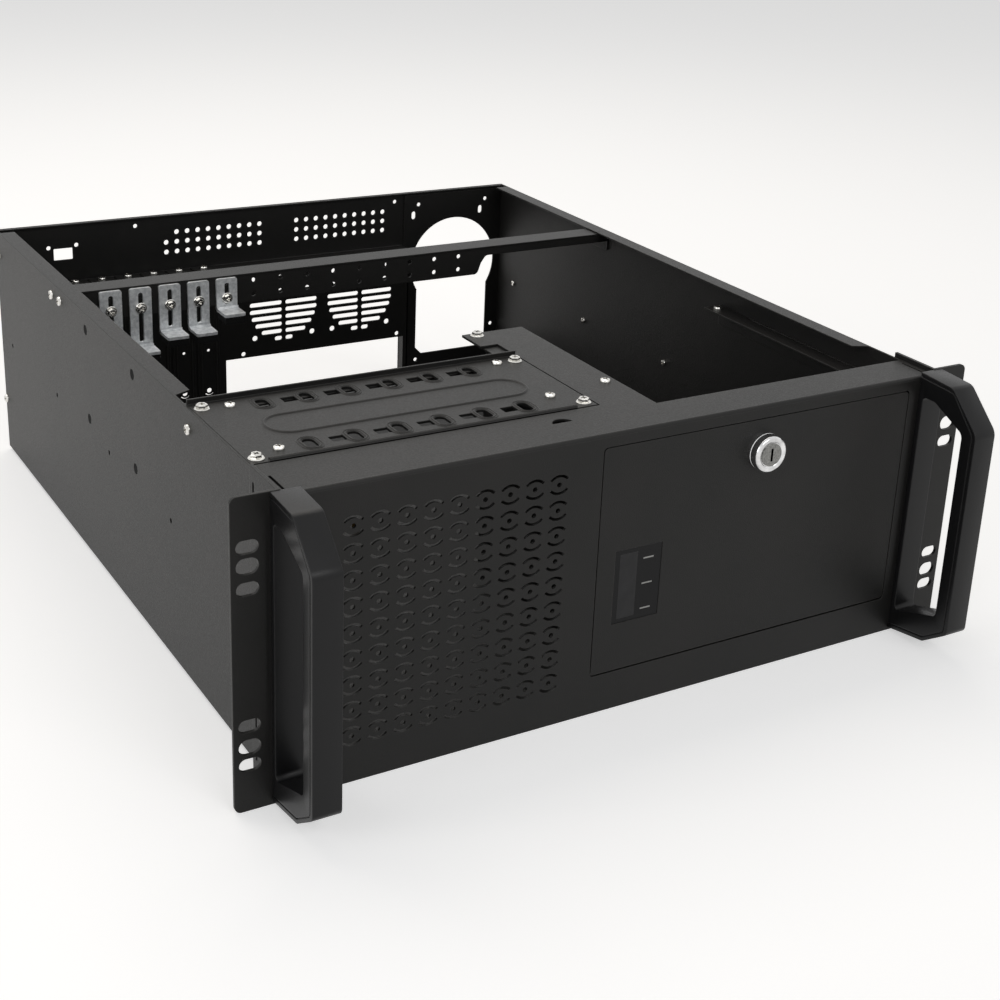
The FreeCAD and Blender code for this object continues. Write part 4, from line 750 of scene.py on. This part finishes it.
bar = (low("card_bar"), high("card_bar"))
bar_outline = eased([
    (-INNER, bar[0].z, 0), (96, bar[0].z, 4), (99, 161, 3), (103, 166.5, 4), (INNER, 166.5, 0),
    (INNER, bar[1].z, 0), (-INNER, bar[1].z, 0),
])
hole_grid = (14, 2, CARD_PITCH, 10, FIRST_CLAMP, CLAMP_HOLES)
bar_face = at(0, bar[0].y + WALL, 0)
bar_front = punched("bar_front", [bar_outline], WALL, bar_face, UPRIGHT, [disc(0, 0, 1.7, 14)], hole_grid)
bar_top = slab("bar_top", (-INNER, INNER), (bar[0].y, bar[1].y - 14), (bar[1].z - WALL, bar[1].z))
tab_outline = bar_loop((bar[0].y, bar[1].y), (bar[1].z - 14, bar[1].z), 2)
ends = (-INNER, INNER - WALL)
tabs = [punched(f"bar_tab_{n}", [tab_outline], WALL, at(x, 0, 0), SIDEWAYS) for n, x in enumerate(ends)]
finished(smooth(joined("card_bar_sheet", [bar_front, bar_top, *tabs])), POWDER_COAT, "case", ["card_bar"])

cover_front = low("slot_cover_1").y
cover_top = high("slot_cover_1").z
COVERS = [f"slot_cover_{k}" for k in range(1, CARDS + 1)]
cover_parts = []
for node in COVERS:
    x = (low(node).x + high(node).x) / 2
    outline = bar_loop((x - 9.2, x + 9.2), (7, cover_top), 1)
    crescent = ring((x, 30), 4.2, 8, 215, 110) + ring((x, 30), 3.5, 8, 215, 110)[::-1]
    cover_loops = [outline, disc(x, 64, 1.2, 14), disc(x, 30, 2.0), crescent]
    cover_parts.append(punched("cover", cover_loops, 1, at(0, cover_front + 1, 0)))
    tab = ((x - 9.2, x + 9.2), (cover_front, high(node).y), (cover_top - 1, cover_top))
    cover_parts.append(slab("cover_tab", *tab))
    for side in (-1, 1):
        path = [at(x + side * 6.2, cover_front + 0.1, z) for z in (12, 122)]
        cover_parts.append(tube("cover_ridge", path, 0.9, closed=False))
finished(smooth(joined("slot_cover_set", cover_parts)), POWDER_COAT, "case", COVERS)

for number in range(1, CLAMPS + 1):
    node = f"card_clamp_{number}"
    base, top = low(node), high(node)
    x = (base.x + top.x) / 2
    slot_low = base.z + 4.4
    across = (x - 7.5, x + 7.5)
    slot = bar_loop((x - 1.7, x + 1.7), (slot_low, top.z - 3.2), 1.68)
    upright = punched("clamp_plate", [bar_loop(across, (base.z, top.z), 1.5), slot], 2, at(0, top.y, 0))
    turns = [math.pi / 2 * k / 5 for k in range(6)]
    curve = [(top.y - 2 - 1.5 * math.sin(a), base.z + 3.5 - 1.5 * math.cos(a)) for a in turns]
    corner = [(top.y - 1, base.z + 1), (top.y - 4, base.z + 1), *curve[::-1], (top.y - 1, base.z + 3.5)]
    fillet = folded("clamp_bend", corner, across)
    foot = punched("clamp_foot", [bar_loop(across, (base.y, top.y), 1.5)], 2, at(0, 0, base.z), FLAT)
    clamp = joined(f"clamp_{number}_bracket", [upright, fillet, foot])
    finished(smooth(clamp), ZINC, f"clamp_{number}", [node])

# Dark discs in the foam rubber's colour are set into the side walls' shallow dimples. They are painted shade,
# standing in for the shade that falls in the dimples.
shade_discs = []
for x in (-SIDE + 0.15, SIDE - 0.45):
    for y in (222, 313):
        for z in (102, 162.5):
            shade_discs.append(punched("dimple_disc", [disc(y, z, 3.3)], 0.3, at(x, 0, 0), SIDEWAYS))
finished(smooth(joined("dimple_plugs", shade_discs)), FOAM, "case")


# ---------------------------------------------------------------- handles


def handle(side):
    """A moulded grip: rounded side outline, a thin groove round each side face, softened edges."""
    node = f"handle_{side}"
    start, end = low(node), high(node)
    outline = [(0, 176.8, 0), (-27, 175.3, 7), (-50, 153, 8), (-50, 20, 5), (-31, 7, 4), (0, 2, 0)]
    opening = [(-4, 16, 3), (-4, 162, 3), (-14, 162, 3.5), (-39, 150, 5), (-39, 28, 4)]
    grip = punched("grip", [eased(outline), eased(opening)], end.x - start.x, at(start.x, 0, 0), SIDEWAYS)
    soft = grip.modifiers.new("soften", "BEVEL")
    soft.width = 1.1 * MM
    soft.segments = 3
    soft.limit_method = "ANGLE"
    soft.angle_limit = math.radians(50)
    grip = baked(grip, "grip")
    for x in (start.x - 0.5, end.x - 0.7):
        rings = []
        for inset in (2.4, 3.1):
            rings.append(eased([
                (1, 2 + inset, 0), (-31 + inset / 5, 7 + inset, 2), (-50 + inset, 20 + inset * 0.43, 3),
                (-50 + inset, 153 - inset * 0.43, 6), (-27 - inset * 0.43, 175.3 - inset, 5),
                (1, 176.9 - inset, 0),
            ]))
        grip = carved(grip, punched("groove", rings, 1.2, at(x, 0, 0), SIDEWAYS))
    grip.name = f"{node}_grip"
    return finished(smooth(grip, 32), GRIP_COAT, "case", [node])


handle("left")
handle("right")


# ---------------------------------------------------------------- screws in their places

hex_screw = washer_head(4.4, 3.0)
small_screw = pan_head(3.3, 2.2)
tiny_screw = pan_head(2.4, 1.6)

plate_screws = [at(x, y, COVER) for x, y in ((-208.3, 124), (-208.3, 47), (-10.5, 124), (-10.5, 47))]
big = screws("plate_screws", hex_screw, "up", plate_screws, 3)
finished(big, NICKEL, "case", ["cage_screws"])
bridge_screw = screws("bridge_screw", hex_screw, "up", [at(-8, 175, COVER)], 8)
finished(bridge_screw, NICKEL, "case")
loose = [at(x, y, COVER) for x, y in ((-193, 122), (-193, 54), (-23, 124), (-23, 63), (20, 71))]
finished(screws("plate_pan_screws", small_screw, "up", loose, 5), NICKEL, "case")

slot_tops = [at(INNER_CARD - CARD_PITCH * k, 521, 130) for k in range(CARDS)]
finished(screws("card_slot_screws", small_screw, "up", slot_tops, 11), NICKEL, "case")
left_wall = [at(-SIDE, y, z) for y, z in ((521, 157), (526, 43), (386, 165), (367, 166), (127, 162))]
finished(screws("left_wall_screws", small_screw, "left", left_wall, 17), NICKEL, "case")
bar_ends = [at(213.4, y, z) for y, z in ((500, 93), (387, 93), (274, 93), (161, 93))]
finished(screws("right_wall_screws", tiny_screw, "left", bar_ends, 23), NICKEL, "case")
finished(screws("ledge_screw", small_screw, "up", [at(206, 205, high("bay_ledge").z)], 29), NICKEL, "case")
clamp_face = high("card_clamp_1").y - 2.3
clamp_heads = [at(FIRST_CLAMP + CARD_PITCH * k, clamp_face, CLAMP_HOLES) for k in range(CLAMPS)]
shank = spun("shank", [(0, -4.2), (1.4, -4.2), (1.4, 0.4), (0, 0.4)], 14)
clamp_screw = carved(washer_head(3.9, 2.8), shank, "UNION")
clamp_set = screws("clamp_screw_heads", clamp_screw, "front", clamp_heads, 31)
finished(clamp_set, NICKEL, "case", ["clamp_screws"])
for tool in (hex_screw, small_screw, tiny_screw, clamp_screw):
    bpy.data.objects.remove(tool, do_unlink=True)


# ---------------------------------------------------------------- lock

LOCK = at(85, 0, 146)
front_turn = Matrix.Translation(LOCK) @ Matrix.Rotation(math.pi / 2, 4, "X")
quarter = [math.pi / 2 * k / 6 for k in range(7)]
rounding = [(9.4 + 1.8 * math.cos(a), 6.7 + 1.8 * math.sin(a)) for a in quarter]
head = [
    (7.05, -13), (9.5, -13), (9.5, 0), (11.2, 0), (11.2, 2.2), (10.95, 2.5), (11.2, 2.8),
    *rounding, (8.1, 8.3), (7.5, 7.9), (7.05, 7.9),
]
barrel = spun("lock_barrel_shell", head + [(7.05, -13)], 48)
barrel.data.transform(front_turn)
finished(smooth(barrel, 25), CHROME, "door_leaf", ["lock_barrel"])
inner = spun("plug_ring", [(5.6, 8.35), (6.6, 8.35), (6.4, 8.48), (5.8, 8.48), (5.6, 8.35)], 40)
inner.data.transform(front_turn)
finished(smooth(inner), SATIN, "lock_core")


# ---------------------------------------------------------------- status window

window = (low("status_window"), high("status_window"))
marks = []
for n, z in enumerate((93.3, 77.3, 61.3)):
    depth = (window[0].y - 0.05, window[0].y + 0.3)
    marks.append(slab(f"mark_{n}", (5.5, 12.5), depth, (z - 0.45, z + 0.45)))
print_marks = joined("window_marks", marks)
finished(print_marks, INK, "door_leaf")


# ---------------------------------------------------------------- stage, light and camera


def lamp(name, place, aim, size, power, colour="ffffff"):
    """A soft rectangular light at a place, aimed at another."""
    data = bpy.data.lights.new(name, "AREA")
    data.shape = "RECTANGLE"
    data.size, data.size_y = size
    data.energy = power
    data.color = linear(colour)[:3]
    obj = link(name, data)
    obj.location = place
    obj.rotation_euler = (Vector(aim) - Vector(place)).to_track_quat("-Z", "Y").to_euler()
    return obj


def seen_rays(tree):
    """1 for rays of the camera, of a mirror or through glass, and 0 for those that only light a surface."""
    ways = add(tree, "ShaderNodeLightPath").outputs
    direct = {0: ways["Is Camera Ray"], 1: ways["Is Glossy Ray"]}
    seen = add(tree, "ShaderNodeMath", direct, operation="MAXIMUM").outputs[0]
    glass = {0: seen, 1: ways["Is Transmission Ray"]}
    return add(tree, "ShaderNodeMath", glass, operation="MAXIMUM").outputs[0]


def paper():
    """White paper for the floor: a diffuse sheet that the camera and mirrors see as near white."""
    material = bpy.data.materials.new("white_studio_paper")
    material.use_nodes = True
    tree = material.node_tree
    tree.nodes.clear()
    grey = grain(tree, 1.4, 3.0)
    tint = ramp(tree, grey, [(0.3, "f1f1f1"), (0.7, "f6f6f6")])
    matt = add(tree, "ShaderNodeBsdfDiffuse", {"Color": tint})
    glow = add(tree, "ShaderNodeEmission", {"Color": (1, 1, 1, 1), "Strength": 0.5})
    both = add(tree, "ShaderNodeAddShader", {0: matt.outputs[0], 1: glow.outputs[0]})
    mix = add(tree, "ShaderNodeMixShader", {"Fac": seen_rays(tree), 1: matt.outputs[0], 2: both.outputs[0]})
    end = add(tree, "ShaderNodeOutputMaterial")
    tree.links.new(mix.outputs[0], end.inputs["Surface"])
    return material


def sky():
    """A white backdrop for the camera, and a dim even light for everything else."""
    world = bpy.data.worlds.new("studio")
    scene.world = world
    world.use_nodes = True
    tree = world.node_tree
    tree.nodes.clear()
    strength = spread(tree, seen_rays(tree), 0, 1, 0.2, 1.0)
    light = add(tree, "ShaderNodeBackground", {"Color": (1, 1, 1, 1), "Strength": strength})
    end = add(tree, "ShaderNodeOutputWorld")
    tree.links.new(light.outputs[0], end.inputs["Surface"])


floor = box("studio_floor", (-6000, 6000), (-6000, 6000), (-20, 0))
floor.data.materials.append(paper())
sky()
lamp("overhead_softbox", (0.0, 0.9, 1.8), (0, 0.1, 0.1), (2.0, 1.4), 13, "fff8ee")
lamp("left_softbox", (-1.8, -0.4, 0.9), (0, 0, 0.1), (1.2, 1.0), 6)
lamp("front_fill", (0.2, -2.2, 1.6), (0, 0.2, 0.1), (1.4, 1.0), 11)

camera_data = bpy.data.cameras.new("camera")
camera_data.lens = 60.01
camera_data.shift_x = -0.0432
camera_data.shift_y = -0.1
camera = link("camera", camera_data)
camera.location = (-0.5052, -0.9284, 0.5054)
camera.rotation_euler = [math.radians(angle) for angle in (69.476, -2.795, -31.402)]
scene.camera = camera

scene.view_settings.view_transform = "Standard"
